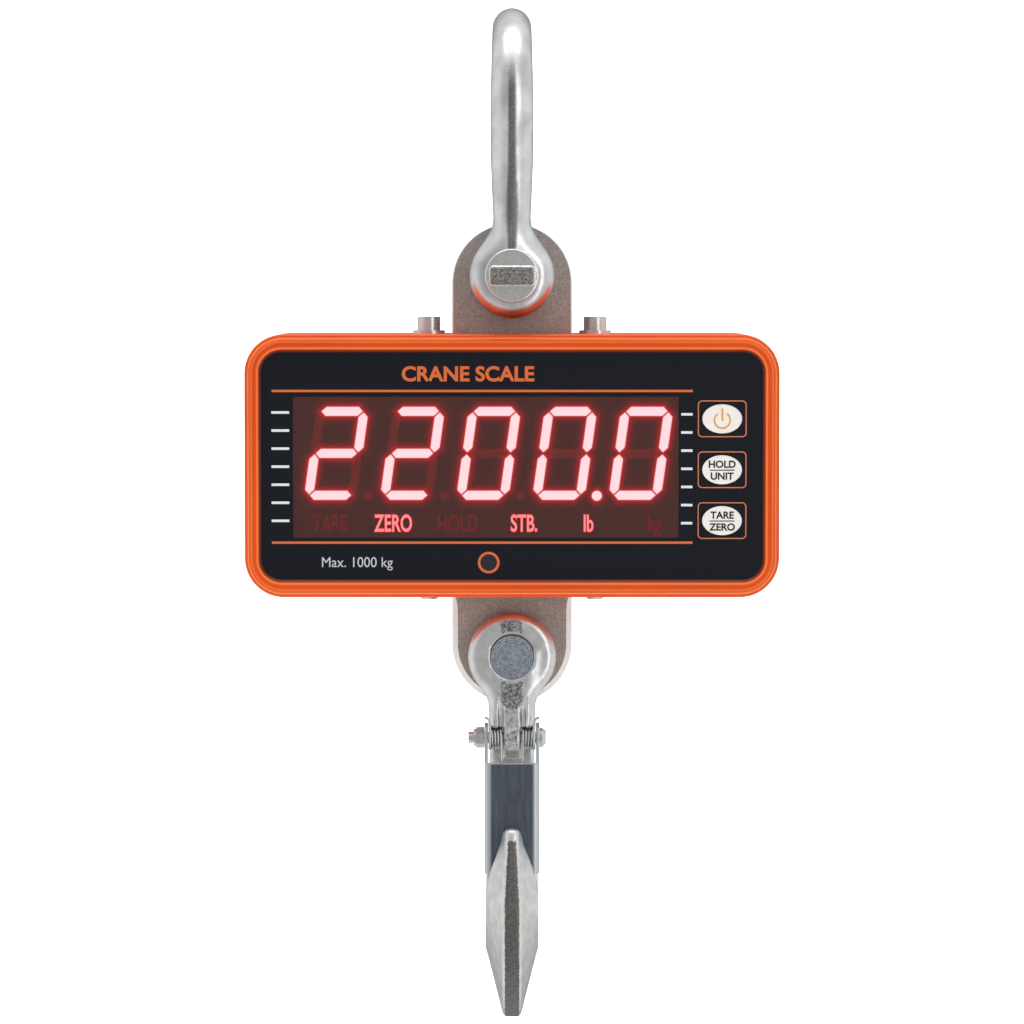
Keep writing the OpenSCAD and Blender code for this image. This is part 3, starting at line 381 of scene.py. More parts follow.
# ---------------------------------------------------------------------------
# Shackle pin: turned from bar, with a collar and a flattened tab that a bar is put through to tighten it.
# The collar's face is turned, the tab's sides are ground, and its sawn end is left rough and dark.
collar_out = -eye_out - 4
tab_end = pin_low[1]


def pin_field(x, y, z):
    """A round shank and collar along Y, and a flat tab with well-rounded edges, drilled up through it."""
    z = z - upper_z
    out = np.hypot(x, z)
    shank_y, shank_half = (pin_high[1] - eye_out) / 2, (pin_high[1] + eye_out) / 2
    shank = round_slab(out, np.abs(y - shank_y), pin_r, shank_half, 0.8)
    collar = round_slab(out, np.abs(y - collar_out - 2), pin_high[0], 1.95, 0.9)
    tab = round_slab(np.abs(z), np.abs(x), 3.75, 9.3, 1.4)
    tab = soft_max(tab, np.abs(y - tab_end / 2 - collar_out / 2) - (collar_out - tab_end) / 2, 0.7)
    pin = soft_min(np.minimum(shank, collar), tab, 1.2)
    return soft_max(pin, 2.5 - np.hypot(x, y - collar_out + 7.8), 0.4)


turned, tree, shader = material("turned_steel", Metallic=1.0, Roughness=0.3, Base_Color=linear("C4C5C4"))
# Turned and ground steel: fine rings round the axis, and a sawn end with dark, open grain.
spot = add(tree, "TexCoord").outputs["Object"]
grain = add(tree, "TexNoise", {"Vector": spot, "Scale": 1100.0, "Detail": 4.0})
sawn = add(tree, "Attribute", attribute_name="sawn")
ring = add(tree, "Attribute", attribute_name="ring")
groove = add(tree, "TexWave", {"Vector": add(tree, "CombineXYZ", {0: ring.outputs["Fac"]}), "Scale": 1.0,
                                 "Distortion": 0.6, "Detail": 2.0})
ragged = add(tree, "Math", {0: sawn.outputs["Fac"], 1: grain}, operation="ADD")
rough_end = add(tree, "MapRange", {0: ragged, 1: 0.9, 2: 1.1})
bare = add(tree, "ValToRGB", {0: grain}, stops=((0.3, "CACAC8"), (0.7, "DEDEDC")))
cut = add(tree, "ValToRGB", {0: grain}, stops=((0.3, "5C5A57"), (0.7, "B0ADA9")))
shown = add(tree, "Mix", {0: rough_end, 6: bare, 7: cut}, data_type="RGBA")
feed(shader, Base_Color=shown.outputs[2])
rough = add(tree, "MapRange", {0: rough_end, 3: 0.27, 4: 0.6})
feed(shader, Roughness=rough)
rings = add(tree, "Bump", {"Strength": 0.08, "Distance": 0.00008, "Height": groove.outputs["Fac"]})
deep = add(tree, "Math", {0: grain, 1: rough_end}, operation="MULTIPLY")
pits = add(tree, "Bump", {"Strength": 0.8, "Distance": 0.0003, "Height": deep, "Normal": rings})
feed(shader, Normal=pits)

pin_step = 0.5
pin = skin("shackle_pin_turned", pin_field, pin_low - 1.5, pin_high + 1.5, pin_step, turned)
paint(pin, "sawn", lambda x, y, z: np.clip((tab_end + 0.9 - y) / 0.8, 0, 1))
paint(pin, "ring", lambda x, y, z: np.where(y > collar_out - 1, np.hypot(x, z - upper_z) / 0.35, 0))
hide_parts("shackle_pin")
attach(pin, "shackle")

# ---------------------------------------------------------------------------
# Load cell: a milled bar of alloy steel with strain gauges in two pockets, bead blasted and then coated
# brown-grey. The edges of its lower end are chamfered after blasting, so they stay bright; the cutter
# runs out in a curve just under the case.
case_bottom = case_low[2]
cell_r = cell_high[0]
cell_y = cell_high[1]
upper_hole, lower_hole = upper_z, node_box("hook_pin")[0][2] + pin_r
cell_ends = np.array([cell_high[2] - cell_r, cell_low[2] + cell_r])


def loops_piece(name, loops, surface, joined=False, sharp=35):
    """A surface through equal closed loops of points, (loops, points, 3) in millimetres. The last loop is
    joined to the first if joined is true. Faces are turned outward; edges over sharp degrees stay crisp."""
    rows, columns = loops.shape[:2]
    row = np.arange(rows if joined else rows - 1)[:, None]
    column = np.arange(columns)[None]
    after, beside = (row + 1) % rows, (column + 1) % columns
    quads = np.stack([
        row * columns + column, row * columns + beside, after * columns + beside, after * columns + column
    ], axis=-1).reshape(-1, 4)
    points = loops.reshape(-1, 3)
    corner = points[quads] - points.mean(0)
    volume = np.einsum("ij,ij->i", corner[:, 0], np.cross(corner[:, 1], corner[:, 2])).sum()
    volume += np.einsum("ij,ij->i", corner[:, 0], np.cross(corner[:, 2], corner[:, 3])).sum()
    piece = mesh_piece(name, points, quads if volume > 0 else quads[:, ::-1], surface)
    piece.data.set_sharp_from_angle(angle=math.radians(sharp))
    return piece


def weld(piece, sharp):
    """Merges points that fall on one another, at poles and seams, and marks the sharp edges again."""
    solid = bmesh.new()
    solid.from_mesh(piece.data)
    bmesh.ops.remove_doubles(solid, verts=solid.verts, dist=0.001 * MM)
    solid.to_mesh(piece.data)
    solid.free()
    piece.data.set_sharp_from_angle(angle=math.radians(sharp))
    return piece


def join(name, pieces):
    """Joins mesh objects to one."""
    with bpy.context.temp_override(active_object=pieces[0], selected_editable_objects=pieces):
        bpy.ops.object.join()
    pieces[0].name = name
    return pieces[0]


def flat_face(name, loops, y, facing, surface):
    """A flat face in the plane at y, from an outer loop and hole loops of X and Z, facing -Y or +Y."""
    points = np.concatenate(loops)
    triangles = np.array(tessellate_polygon([[Vector((*p, 0)) for p in loop] for loop in loops]))
    a, b, c = (points[triangles[:, k]] for k in range(3))
    turn = (b - a)[:, 0] * (c - a)[:, 1] - (b - a)[:, 1] * (c - a)[:, 0]
    back = (turn > 0) == (facing > 0)
    triangles[back] = triangles[back][:, ::-1]
    points = np.insert(points, 1, y, axis=1)
    return mesh_piece(name, points, triangles, surface, smooth=False)


def circle(r, x=0.0, z=0.0, count=64):
    """Points round a circle, in X and Z."""
    turn = np.arange(count) * 2 * math.pi / count
    return np.stack([x + r * np.cos(turn), z + r * np.sin(turn)], axis=1)


def level(points, y):
    """Puts points in X and Z at a depth."""
    return np.insert(points, 1, y, axis=1)


def mottled(name, scale, detail, dark, light, **sockets):
    """A material that drifts between two shades with a noise of this scale and detail, as (material, node
    tree, shader, noise)."""
    made, tree, shader = material(name, **sockets)
    spot = add(tree, "TexCoord").outputs["Object"]
    noise = add(tree, "TexNoise", {"Vector": spot, "Scale": scale, "Detail": detail})
    feed(shader, Base_Color=add(tree, "ValToRGB", {0: noise}, stops=((0, dark), (1, light))))
    return made, tree, shader, noise


blasted, tree, shader = material("bead_blasted_steel", Metallic=0.7, Roughness=0.55)
# Blasting leaves fine even grain; the coat makes it warm grey, with lighter specks where it is thin.
spot = add(tree, "TexCoord").outputs["Object"]
grain = add(tree, "TexNoise", {"Vector": spot, "Scale": 1500.0, "Detail": 6.0, "Roughness": 0.75})
cloud = add(tree, "TexNoise", {"Vector": spot, "Scale": 60.0, "Detail": 3.0})
grit = add(tree, "ValToRGB", {0: grain}, stops=((0.33, "857C76"), (0.7, "C2BAB5")))
worn = add(tree, "Mix", {0: 0.2, 6: grit, 7: cloud}, data_type="RGBA", blend_type="SOFT_LIGHT")
feed(shader, Base_Color=worn.outputs[2])
pits = add(tree, "Bump", {"Strength": 0.35, "Distance": 0.00015, "Height": grain})
feed(shader, Normal=pits)

milled, tree, shader, lay = mottled("milled_bright_steel", 900, 3, "D2CFCB", "EEEBE8", Metallic=0.8,
                                    Roughness=0.4)
# The cutter's fine lay across a bright chamfer, a little dulled by handling.
marks = add(tree, "Bump", {"Strength": 0.2, "Distance": 0.0001, "Height": lay})
feed(shader, Normal=marks)

turn = np.linspace(0, math.pi, 73)
run = np.linspace(cell_ends[0], cell_ends[1], 160)[1:-1]
top_arc = np.stack([cell_r * np.cos(turn), cell_ends[0] + cell_r * np.sin(turn)], axis=1)
left_run = np.stack([np.full(len(run), -cell_r), run], axis=1)
bottom_arc, right_run = np.array([0, cell_ends.sum()]) - top_arc, (left_run * [-1, 1])[::-1]
outline = np.concatenate([top_arc, left_run, bottom_arc, right_run])
outline[:, 0] = np.clip(outline[:, 0], -cell_r, cell_r)
middle_line = np.clip(outline[:, 1], cell_ends[1], cell_ends[0])
outward = (outline - np.stack([np.zeros(len(outline)), middle_line], axis=1)) / cell_r
into = np.clip((case_bottom - 0.4 - outline[:, 1]) / 7, 0, 1)
chamfer = np.maximum(0.6, 2.5 * np.sqrt(1 - (1 - into) ** 2))[:, None]
inset = outline - outward * chamfer
wall_y = cell_y - chamfer[:, 0]
cell_rims = {s: level(outline, 0) + [0, s, 0] * wall_y[:, None] for s in (-1, 1)}
cell_pieces = [loops_piece("cell_side", np.stack(list(cell_rims.values())), blasted)]
pocket_r = node_box("gauge_covers")[1][0]
bore_r, bore_edge = pin_r + 0.05, 0.5
mouths = [circle(bore_r + bore_edge, z=z) for z in (upper_hole, lower_hole)]
for s, rim in cell_rims.items():
    edge = loops_piece("cell_chamfer", np.stack([rim, level(inset, s * cell_y)]), milled)
    loops = [inset, *mouths, circle(pocket_r, z=cell_ends.mean())]
    cell_pieces += [edge, flat_face("cell_face", loops, s * cell_y, s, blasted)]
bore_y = cell_y - bore_edge
for z in (upper_hole, lower_hole):
    bore = [level(circle(r, z=z), y) for r, y in (
        (bore_r + bore_edge, -cell_y), (bore_r, -bore_y), (bore_r, bore_y), (bore_r + bore_edge, cell_y)
    )]
    wall = loops_piece("cell_bore", np.stack(bore), milled)
    wall.data.flip_normals()
    cell_pieces.append(wall)
cell = weld(join("load_cell_bar", cell_pieces), 35)
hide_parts("load_cell")
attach(cell, "scale")

# ---------------------------------------------------------------------------
# Front casting: die-cast aluminium under gloss orange paint. The rim is a raised band with a small step
# on its outer side and a rounded inner lip that drops to the panel, so light runs along it in thin lines;
# painted highlight lines along its crests and painted shade in the corner by the panel add to them.
front_low, front_high = node_box("front_case")
panel_low, panel_high = node_box("keypad_panel")
window_low, window_high = node_box("display_window")
case_w, case_h = case_high[0] * 2, case_high[2] - case_low[2]
case_z = (case_high[2] + case_low[2]) / 2
rim_side = case_high[0] - panel_high[0] - 0.1
rim_top = case_high[2] - panel_high[2] - 0.1
front_y, joint_y = front_low[1], front_high[1]
panel_y = panel_low[1]
inside_y = window_high[1]

painted, tree, shader = material("gloss_orange_paint", Roughness=0.3, Coat_Weight=0.18, Coat_Roughness=0.08)
# Sprayed gloss paint over a casting: a faint orange peel breaks up long reflections. Pale lines along the
# crests are painted highlight, and the dark line in the corner by the panel is painted shade.
spot = add(tree, "TexCoord").outputs["Object"]
peel = add(tree, "TexNoise", {"Vector": spot, "Scale": 420.0, "Detail": 2.0})
drift = add(tree, "TexNoise", {"Vector": spot, "Scale": 14.0, "Detail": 2.0})
tone = add(tree, "ValToRGB", {0: drift}, stops=((0.3, "C23E02"), (0.7, "CA4603")))
# Painted light on the rim: above zero mixes in a pale painted highlight, below zero a dark painted shade.
painted_rim_light = add(tree, "Attribute", attribute_name="painted_rim_light").outputs["Fac"]
painted_highlight = add(tree, "Mix", {0: add(tree, "MapRange", {0: painted_rim_light}), 6: tone, 7: linear("FFA05A")},
           data_type="RGBA")
painted_corner_shade = add(tree, "Mix", {0: add(tree, "MapRange", {0: painted_rim_light, 1: 0.0, 2: -1.0}), 6: painted_highlight.outputs[2],
                          7: linear("4A1004")}, data_type="RGBA")
feed(shader, Base_Color=painted_corner_shade.outputs[2])
shader.inputs["Specular IOR Level"].default_value = 0.25
skin_bump = add(tree, "Bump", {"Strength": 0.08, "Distance": 0.0002, "Height": peel})
feed(shader, Normal=skin_bump)
feed(shader, Coat_Normal=skin_bump)


def rounded(w, h, r, count=16):
    """Points round a rectangle with corner radius r, in X and Z about the origin: four quarter arcs."""
    quarter = np.arange(4)[:, None]
    turn = (quarter + np.linspace(0, 1, count + 1)) * math.pi / 2
    across = (w / 2 - r) * np.array([1, -1, -1, 1])[:, None] + r * np.cos(turn)
    up = (h / 2 - r) * np.array([1, 1, -1, -1])[:, None] + r * np.sin(turn)
    return np.stack([across.ravel(), up.ravel()], axis=1)


def arc(centre, r, start, end, count=7):
    """Points on an arc, from one angle to another in degrees."""
    turn = np.radians(np.linspace(start, end, count))
    return np.stack([centre[0] + r * np.cos(turn), centre[1] + r * np.sin(turn)], axis=1)


# The rim's section, as (how far in from the outer edge, how far below the front), from the joint outward.
section = np.concatenate([
    [[0, joint_y - front_y]], [[0, 8]], [[0, 3.2]],
    arc((1.35, 2.5), 1.35, 180, 270), arc((1.55, 0.65), 0.5, 90, 40, 4), arc((3.0, 1.15), 1.15, 215, 270),
    [[3.8, 0], [4.4, 0], [4.8, 0]], arc((5.3, 0.95), 0.95, 270, 345), [[6.75, 1.75]], [[7.2, 1.99]],
])
share = np.clip(section[:, 0] / 7.2, 0, 1)
rows = [
    (case_w - 2 * rim_side * s, case_h - 2 * rim_top * s, 17 - 8.3 * s, front_y + t)
    for s, (_, t) in zip(share, section)
]
seat_w, seat_h = case_w - 2 * rim_side, case_h - 2 * rim_top
rows += [(seat_w, seat_h, 8.7, panel_y + 1), (seat_w - 8, seat_h - 8, 6, panel_y + 1)]
rows += [(seat_w - 8, seat_h - 8, 6, inside_y), (case_w - 7, case_h - 7, 13.5, inside_y)]
rows += [(case_w - 7, case_h - 7, 13.5, joint_y)]
loops = np.stack([level(rounded(w, h, r) + [0, case_z], y) for w, h, r, y in rows])
front = loops_piece("front_casting", loops, painted, joined=True, sharp=50)
inset = np.zeros(len(rows))
inset[:len(section)] = np.where(section[:, 1] < 3, section[:, 0], 0)
# Painted light across the rim's section: highlight lines 1.6, 2.9 and 5.6 mm in from the outer edge, and
# painted shade in the corner by the panel from 6.2 mm in.
painted_rim_light = 0.7 * np.exp(-(((inset - 1.6) / 0.25) ** 2)) + 0.3 * np.exp(-(((inset - 2.9) / 0.2) ** 2))
painted_rim_light += 0.5 * np.exp(-(((inset - 5.6) / 0.3) ** 2)) - np.clip((inset - 6.2) / 0.4, 0, 1)
paint(front, "painted_rim_light", lambda x, y, z: np.repeat(painted_rim_light, loops.shape[1]))
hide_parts("front_case")
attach(front, "scale")

# ---------------------------------------------------------------------------
# Rear casting, its gasket and the metal that hangs the case on the load cell. The screws are plated
# steel with turned heads; the plates inside are zinc plated and the seals are black rubber.


def coat(surface, *names, bevel=0.0):
    """Gives CAD nodes a material, and a rounded edge of this many millimetres."""
    for name in names:
        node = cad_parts[name]
        node.data.materials.clear()
        node.data.materials.append(surface)
        if bevel:
            rounding = node.modifiers.new("edge", "BEVEL")
            rounding.width = bevel * MM
            rounding.segments = 2
            rounding.limit_method = "ANGLE"
            rounding.angle_limit = math.radians(40)
            rounding.use_clamp_overlap = True


coat(painted, "rear_case")

fastener, tree, shader, mark = mottled("bright_plated_fasteners", 700, 3, "B4B6B6", "E0E1E0", Metallic=1.0,
                                       Roughness=0.28)
# Nickel-like plating over turned heads, with faint handling marks.
rough = add(tree, "MapRange", {0: mark, 3: 0.22, 4: 0.36})
feed(shader, Roughness=rough)
coat(fastener, "top_screws", "top_washers", "bottom_screws", "latch_bolt", "latch_nut", bevel=0.35)
coat(fastener, "case_screws", "battery_cover_screws", "socket_cap_rivet", bevel=0.15)
coat(fastener, "bracket_screws", "board_screws", "main_board_screws", "socket_nut")

zinc, *_ = mottled("zinc_plated_sheet", 90, 4, "9AA0A6", "C3C8CC", Metallic=1.0, Roughness=0.36)
# Bright zinc over rolled sheet: a faint cloudy spangle.
coat(zinc, "gauge_covers", "hanger_bracket", "guide_plate")

rubber, *_ = mottled("moulded_black_rubber", 350, 3, "141516", "26282A", Roughness=0.75)
# Soft black rubber with a dusty, uneven sheen.
coat(rubber, "top_seal", "bottom_seal", "case_gasket", "battery_gasket", "gauge_lead")
coat(rubber, "socket_cap", "socket_cap_anchor", bevel=0.3)

# ---------------------------------------------------------------------------
# Front panel: a screen-printed polyester film over a moulded plate, near black, with orange rules, key
# frames and a ring round the receiver, and white tick marks beside the display.
film, tree, shader, velvet = mottled("textured_polyester_film", 2200, 2, "0A0D14", "0F131B", Roughness=0.38)
# Velvet-finish film: a fine even texture that keeps reflections soft.
soft = add(tree, "Bump", {"Strength": 0.12, "Distance": 0.00005, "Height": velvet})
feed(shader, Normal=soft)
shader.inputs["Specular IOR Level"].default_value = 0.2
coat(film, "keypad_panel")


def ink(name, colour):
    """Screen-printed ink: an even colour with the faint mottle of the mesh."""
    made, tree, shader = material(name, Roughness=0.45)
    mesh_mark = add(tree, "TexNoise", {"Vector": add(tree, "TexCoord").outputs["Object"], "Scale": 1800.0})
    fade = add(tree, "MapRange", {0: mesh_mark, 3: 0.0, 4: 0.16})
    tone = add(tree, "Mix", {0: fade, 6: linear(colour), 7: (0, 0, 0, 1)}, data_type="RGBA")
    feed(shader, Base_Color=tone.outputs[2])
    return made


orange_ink, white_ink, frame_ink, grey_ink, black_ink, ochre_ink = (
    ink(name + "_screen_ink", colour) for name, colour in (
        ("orange", "CC5F26"), ("white", "D5DAE0"), ("copper", "C9724A"),
        ("grey", "B9BCC0"), ("black", "0B0C0E"), ("ochre", "DB9430"),
    )
)
ink_y = panel_y - 0.04
keys = {body: node_box(node) for body, node in (
    ("power_button", "power_key"), ("hold_button", "hold_key"), ("tare_button", "tare_key"))}
key_middles = {body: (low + high) / 2 for body, (low, high) in keys.items()}


def bar(x0, x1, z, thick):
    """Corners of a level rule, in X and Z."""
    return np.array([[x0, z - thick / 2], [x1, z - thick / 2], [x1, z + thick / 2], [x0, z + thick / 2]])


def printed(name, shapes, surface, y=ink_y, body="scale"):
    """One flat printed piece from shapes, each a list of loops: an outer loop and any holes."""
    pieces = [flat_face(name, shape, y, -1, surface) for shape in shapes]
    piece = join(name, pieces) if len(pieces) > 1 else pieces[0]
    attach(piece, body)
    return piece


rule_wide, tick_wide, tick_count = 1.05, 1.1, 7
rules = [[bar(-104.0, 78.2, z, rule_wide)] for z in (-149.8, -215.5)]
lens = (node_box("receiver_lens")[0] + node_box("receiver_lens")[1]) / 2
rules.append([circle(4.7, lens[0], lens[2]), circle(3.62, lens[0], lens[2])])
printed("orange_rules", rules, orange_ink)
ticks = [
    [bar(left, right, top - pitch * k, tick_wide)]
    for left, right, top, pitch in ((-104.1, -96.4, -159.1, 7.82), (73.2, 78.1, -159.9, 7.86))
    for k in range(tick_count)
]
printed("white_ticks", ticks, white_ink)
frames = [
    [rounded(21.1, 15.9, 1.9) + place[[0, 2]], rounded(20.2, 15.0, 1.5) + place[[0, 2]]]
    for place in key_middles.values()
]
printed("key_frames", frames, frame_ink)


def words(name, text, height, x, z, surface, y=ink_y, body="scale", slot="panel_film", weight=0.0, width=1.0):
    """Plain lettering of this capital height as a flat mesh, centred on x and z, facing -Y. Its place is
    put into the mesh, weight thickens its strokes and width squeezes it."""
    curve = bpy.data.curves.new(name, "FONT")
    curve.body = text
    curve.align_x = "CENTER"
    curve.offset = weight
    curve.resolution_u = 6
    source = bpy.data.objects.new(name, curve)
    mesh = bpy.data.meshes.new_from_object(source)
    bpy.data.objects.remove(source)
    points = np.zeros(len(mesh.vertices) * 3)
    mesh.vertices.foreach_get("co", points)
    flat = points.reshape(-1, 3)[:, :2]
    size = height / 0.7
    middle = np.array([(flat[:, 0].min() + flat[:, 0].max()) / 2, 0.35])
    flat = (flat - middle) * size * [width, 1]
    placed = np.stack([flat[:, 0] + x, np.full(len(flat), y), flat[:, 1] + z], axis=1) * MM
    mesh.vertices.foreach_set("co", placed.ravel().astype(np.float32))
    mesh.materials.clear()
    mesh.materials.append(surface)
    mesh.update()
    piece = bpy.data.objects.new(name, mesh)
    bpy.context.scene.collection.objects.link(piece)
    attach(piece, body)
    return piece


words("capacity_words", "Max. 1000 kg", 4.4, -67.0, -223.9, grey_ink, width=0.92)
words("heading_words", "CRANE SCALE", 6.2, -19.0, -142.3, orange_ink, weight=0.03, width=1.02)

# ---------------------------------------------------------------------------
# Keys: oval caps of white silicone behind the film, a little proud and softly domed, each with its own
# printed mark. They ride their own buttons.
cap_white, tree, shader, grain = mottled("moulded_white_silicone", 2400, 2, "D6D0CB", "E6E0DB",
                                         Roughness=0.42, Subsurface_Weight=0.1, Subsurface_Scale=0.001)
# Silky white rubber with a fine moulded grain.
grained = add(tree, "Bump", {"Strength": 0.15, "Distance": 0.00005, "Height": grain})
feed(shader, Normal=grained)
key_w, key_h = (keys["hold_button"][1] - keys["hold_button"][0])[[0, 2]]
key_face = keys["hold_button"][0][1]


def key_cap(middle):
    """A domed oval: from the middle of its flat back out to the sides, and then rings that shrink to the
    middle while the depth follows a shallow ellipse, with a rounded rim."""
    scale = np.array([0.0, 1, 1, 1, 0.985, 0.965, 0.93, 0.8, 0.6, 0.4, 0.2, 0.0])
    depth = np.array([1.7, 1.7, 0.6, 0.34, 0.2, 0.12, 0.07, 0.045, 0.02, 0.008, 0.002, 0.0])
    turn = np.arange(72) * math.pi / 36
    oval = np.stack([key_w / 2 * np.cos(turn), key_h / 2 * np.sin(turn)], axis=1)
    return np.stack([level(oval * s + middle[[0, 2]], key_face + d) for s, d in zip(scale, depth)])


for body, node in (("power_button", "power_key"), ("hold_button", "hold_key"), ("tare_button", "tare_key")):
    cap = weld(loops_piece(body + "_cap", key_cap(key_middles[body]), cap_white), 80)
    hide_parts(node)
    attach(cap, body)
mark_y = key_face - 0.03
for body, upper, lower in (("hold_button", "HOLD", "UNIT"), ("tare_button", "TARE", "ZERO")):
    x, _, z = key_middles[body]
    for text, rise in ((upper, 2.45), (lower, -2.7)):
        words(body + "_" + text.lower(), text, 3.0, x, z + rise, black_ink, mark_y, body, "key_white", 0.03)
    printed(body + "_rule", [[bar(x - 5.4, x + 5.4, z - 0.15, 0.45)]], black_ink, mark_y, body)
x, _, z = key_middles["power_button"]
ring = np.concatenate([arc((x, z - 0.6), 3.75, 125, 415, 60), arc((x, z - 0.6), 3.05, 415, 125, 60)])
stem = bar(x - 0.4, x + 0.4, z + 1.8, 5.4)
printed("power_mark", [[ring], [stem]], ochre_ink, mark_y, "power_button")

# ---------------------------------------------------------------------------
# Display: a window of smoke-red acrylic with seven-segment LED modules behind it. Lit segments are pinkish
# white with a red glow round them, and unlit ones show as a slightly redder ghost in the dark plastic.
acrylic, tree, shader, scuff = mottled("smoke_red_acrylic", 160, 5, "C08A84", "C48F88", Roughness=0.03,
                                       IOR=1.49, Transmission_Weight=1.0)
# Cast acrylic, tinted through, with the odd fine scuff in its polish.
haze = add(tree, "MapRange", {0: scuff, 3: 0.02, 4: 0.05})
feed(shader, Roughness=haze)
coat(acrylic, "display_window")

potting, _, shader, _ = mottled("dark_epoxy_led_face", 45, 3, "3B1F1A", "4A2720", Roughness=0.6)
# Dark red-brown epoxy: faintly cloudy, with no gloss left behind the window.
# An even faint glow over the whole face is painted light that lifts the dark epoxy behind the tinted window.
shader.inputs["Emission Color"].default_value = (0.062, 0.028, 0.021, 1)
shader.inputs["Emission Strength"].default_value = 1.0
coat(potting, "digit_modules", "annunciator_bar")

lens_glass, *_ = mottled("dark_infrared_lens", 200, 2, "17181F", "221C26", Roughness=0.12)
# Infrared-pass plastic: almost black, with a violet-red depth and a clear polish.
coat(lens_glass, "receiver_lens")

SEGMENTS = {"a": ((0, 2), (1, 2)), "b": ((1, 2), (1, 1)), "c": ((1, 1), (1, 0)), "d": ((0, 0), (1, 0)),
            "e": ((0, 1), (0, 0)), "f": ((0, 2), (0, 1)), "g": ((0, 1), (1, 1))}
SHOWN = {"0": "abcdef", "2": "abged"}
modules_low, modules_high = node_box("digit_modules")
digit_x = modules_low[0] + 17.6 + 33.0 * np.arange(5)
digit_z = (modules_low[2] + modules_high[2]) / 2
digit_w, digit_h, stroke, lean = 18.8, 36.4, 4.0, math.tan(math.radians(8))


def digit_distances(x, z):
    """Distance to the nearest lit and the nearest unlit segment. The slant is undone first, then each
    segment is a bar along one side of a box, cut by the two diagonals through its ends, so that
    neighbours stay a thin gap apart. The points are discs."""
    found = {True: np.full(x.shape, 99.0), False: np.full(x.shape, 99.0)}
    for middle, figure in zip(digit_x, "22000"):
        u = (x - middle) - (z - digit_z) * lean + digit_w / 2
        v = (z - digit_z) + digit_h / 2
        for name, (start, end) in SEGMENTS.items():
            a = np.array(start) * [digit_w, digit_h / 2]
            b = np.array(end) * [digit_w, digit_h / 2]
            reach = np.abs(b - a).sum()
            along = np.abs((u if a[1] == b[1] else v) - (a + b)[0 if a[1] == b[1] else 1] / 2)
            beside = np.abs((v if a[1] == b[1] else u) - a[1 if a[1] == b[1] else 0])
            shape = np.maximum(beside - stroke / 2, (along + beside - reach / 2 + 0.42) * 0.7071)
            lit = name in SHOWN[figure]
            found[lit] = np.minimum(found[lit], shape)
    for k in range(4):
        point = np.hypot(x - digit_x[k] - 16.6 + 2.7, z - digit_z + digit_h / 2 + 0.2) - 2.2
        found[k == 3] = np.minimum(found[k == 3], point)
    return found[True], found[False]


led, tree, shader = material("led_segments", Roughness=0.6)
# The lit core, its glow in the epoxy and the ghost of unlit segments, from the distances to their edges. Far
# from lit segments the glow ends in the face's even painted glow, and the ghosts get a faint painted red
# glow.
spot = add(tree, "TexCoord").outputs["Object"]
cloud = add(tree, "TexNoise", {"Vector": spot, "Scale": 45.0, "Detail": 3.0})
tone = add(tree, "ValToRGB", {0: cloud}, stops=((0, "3B1F1A"), (1, "4A2720")))
lit = add(tree, "Attribute", attribute_name="lit_distance").outputs["Fac"]
dark = add(tree, "Attribute", attribute_name="unlit_distance").outputs["Fac"]
ghost = add(tree, "MapRange", {0: dark, 1: 0.15, 2: -0.25, 3: 0.0, 4: 1.0})
base = add(tree, "Mix", {0: ghost, 6: tone, 7: linear("6E1D18")}, data_type="RGBA")
feed(shader, Base_Color=base.outputs[2])
glow = add(tree, "ValToRGB", {0: add(tree, "MapRange", {0: lit, 1: -1.2, 2: 4.8})}, stops=(
    (0.12, (2.3, 2.9, 3.4)), (0.185, (2.2, 2.1, 2.5)), (0.215, (1.0, 0.05, 0.07)),
    (0.36, (0.42, 0.016, 0.018)), (0.6, (0.13, 0.026, 0.022)), (1, (0.062, 0.028, 0.021)),
))
ghost_painted_glow = add(tree, "Mix", {0: ghost, 6: (0, 0, 0, 1), 7: (0.1, 0.003, 0.003, 1)}, data_type="RGBA")
both = add(tree, "Mix", {0: 1.0, 6: glow, 7: ghost_painted_glow.outputs[2]}, data_type="RGBA", blend_type="ADD")
feed(shader, Emission_Color=both.outputs[2])
shader.inputs["Emission Strength"].default_value = 1.0
face_x = np.linspace(window_low[0] + 0.1, window_high[0] - 0.1, 418)
face_z = np.linspace(window_low[2] + 0.1, window_high[2] - 0.1, 154)
grid_x, grid_z = np.meshgrid(face_x, face_z, indexing="ij")
count = len(face_z)
first = (np.arange(len(face_x) - 1)[:, None] * count + np.arange(count - 1)[None]).ravel()
quads = np.stack([first, first + count, first + count + 1, first + 1], axis=1)
face_y = modules_low[1] - 0.1
points = np.stack([grid_x.ravel(), np.full(grid_x.size, face_y), grid_z.ravel()], axis=1)
digits = mesh_piece("digit_faces", points, quads, led, smooth=False)
paint(digits, "lit_distance", lambda x, y, z: digit_distances(x, z)[0])
paint(digits, "unlit_distance", lambda x, y, z: digit_distances(x, z)[1])
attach(digits, "scale")


def lamp_ink(name, colour, strength):
    """A glowing legend with a slight mottle; on an unlit legend the glow is painted light."""
    made, tree, shader = material(name, Roughness=0.6)
    mottle = add(tree, "TexNoise", {"Vector": add(tree, "TexCoord").outputs["Object"], "Scale": 900.0})
    brighter = [min(1.0, 1.15 * part) for part in linear(colour)[:3]]
    tone = add(tree, "ValToRGB", {0: mottle}, stops=((0, colour), (1, brighter)))
    feed(shader, Base_Color=tone, Emission_Color=tone)
    shader.inputs["Emission Strength"].default_value = strength
    return made


legend_lit = lamp_ink("lit_legend", "FFA8B2", 2.4)
legend_halo = lamp_ink("legend_glow", "B01418", 0.9)
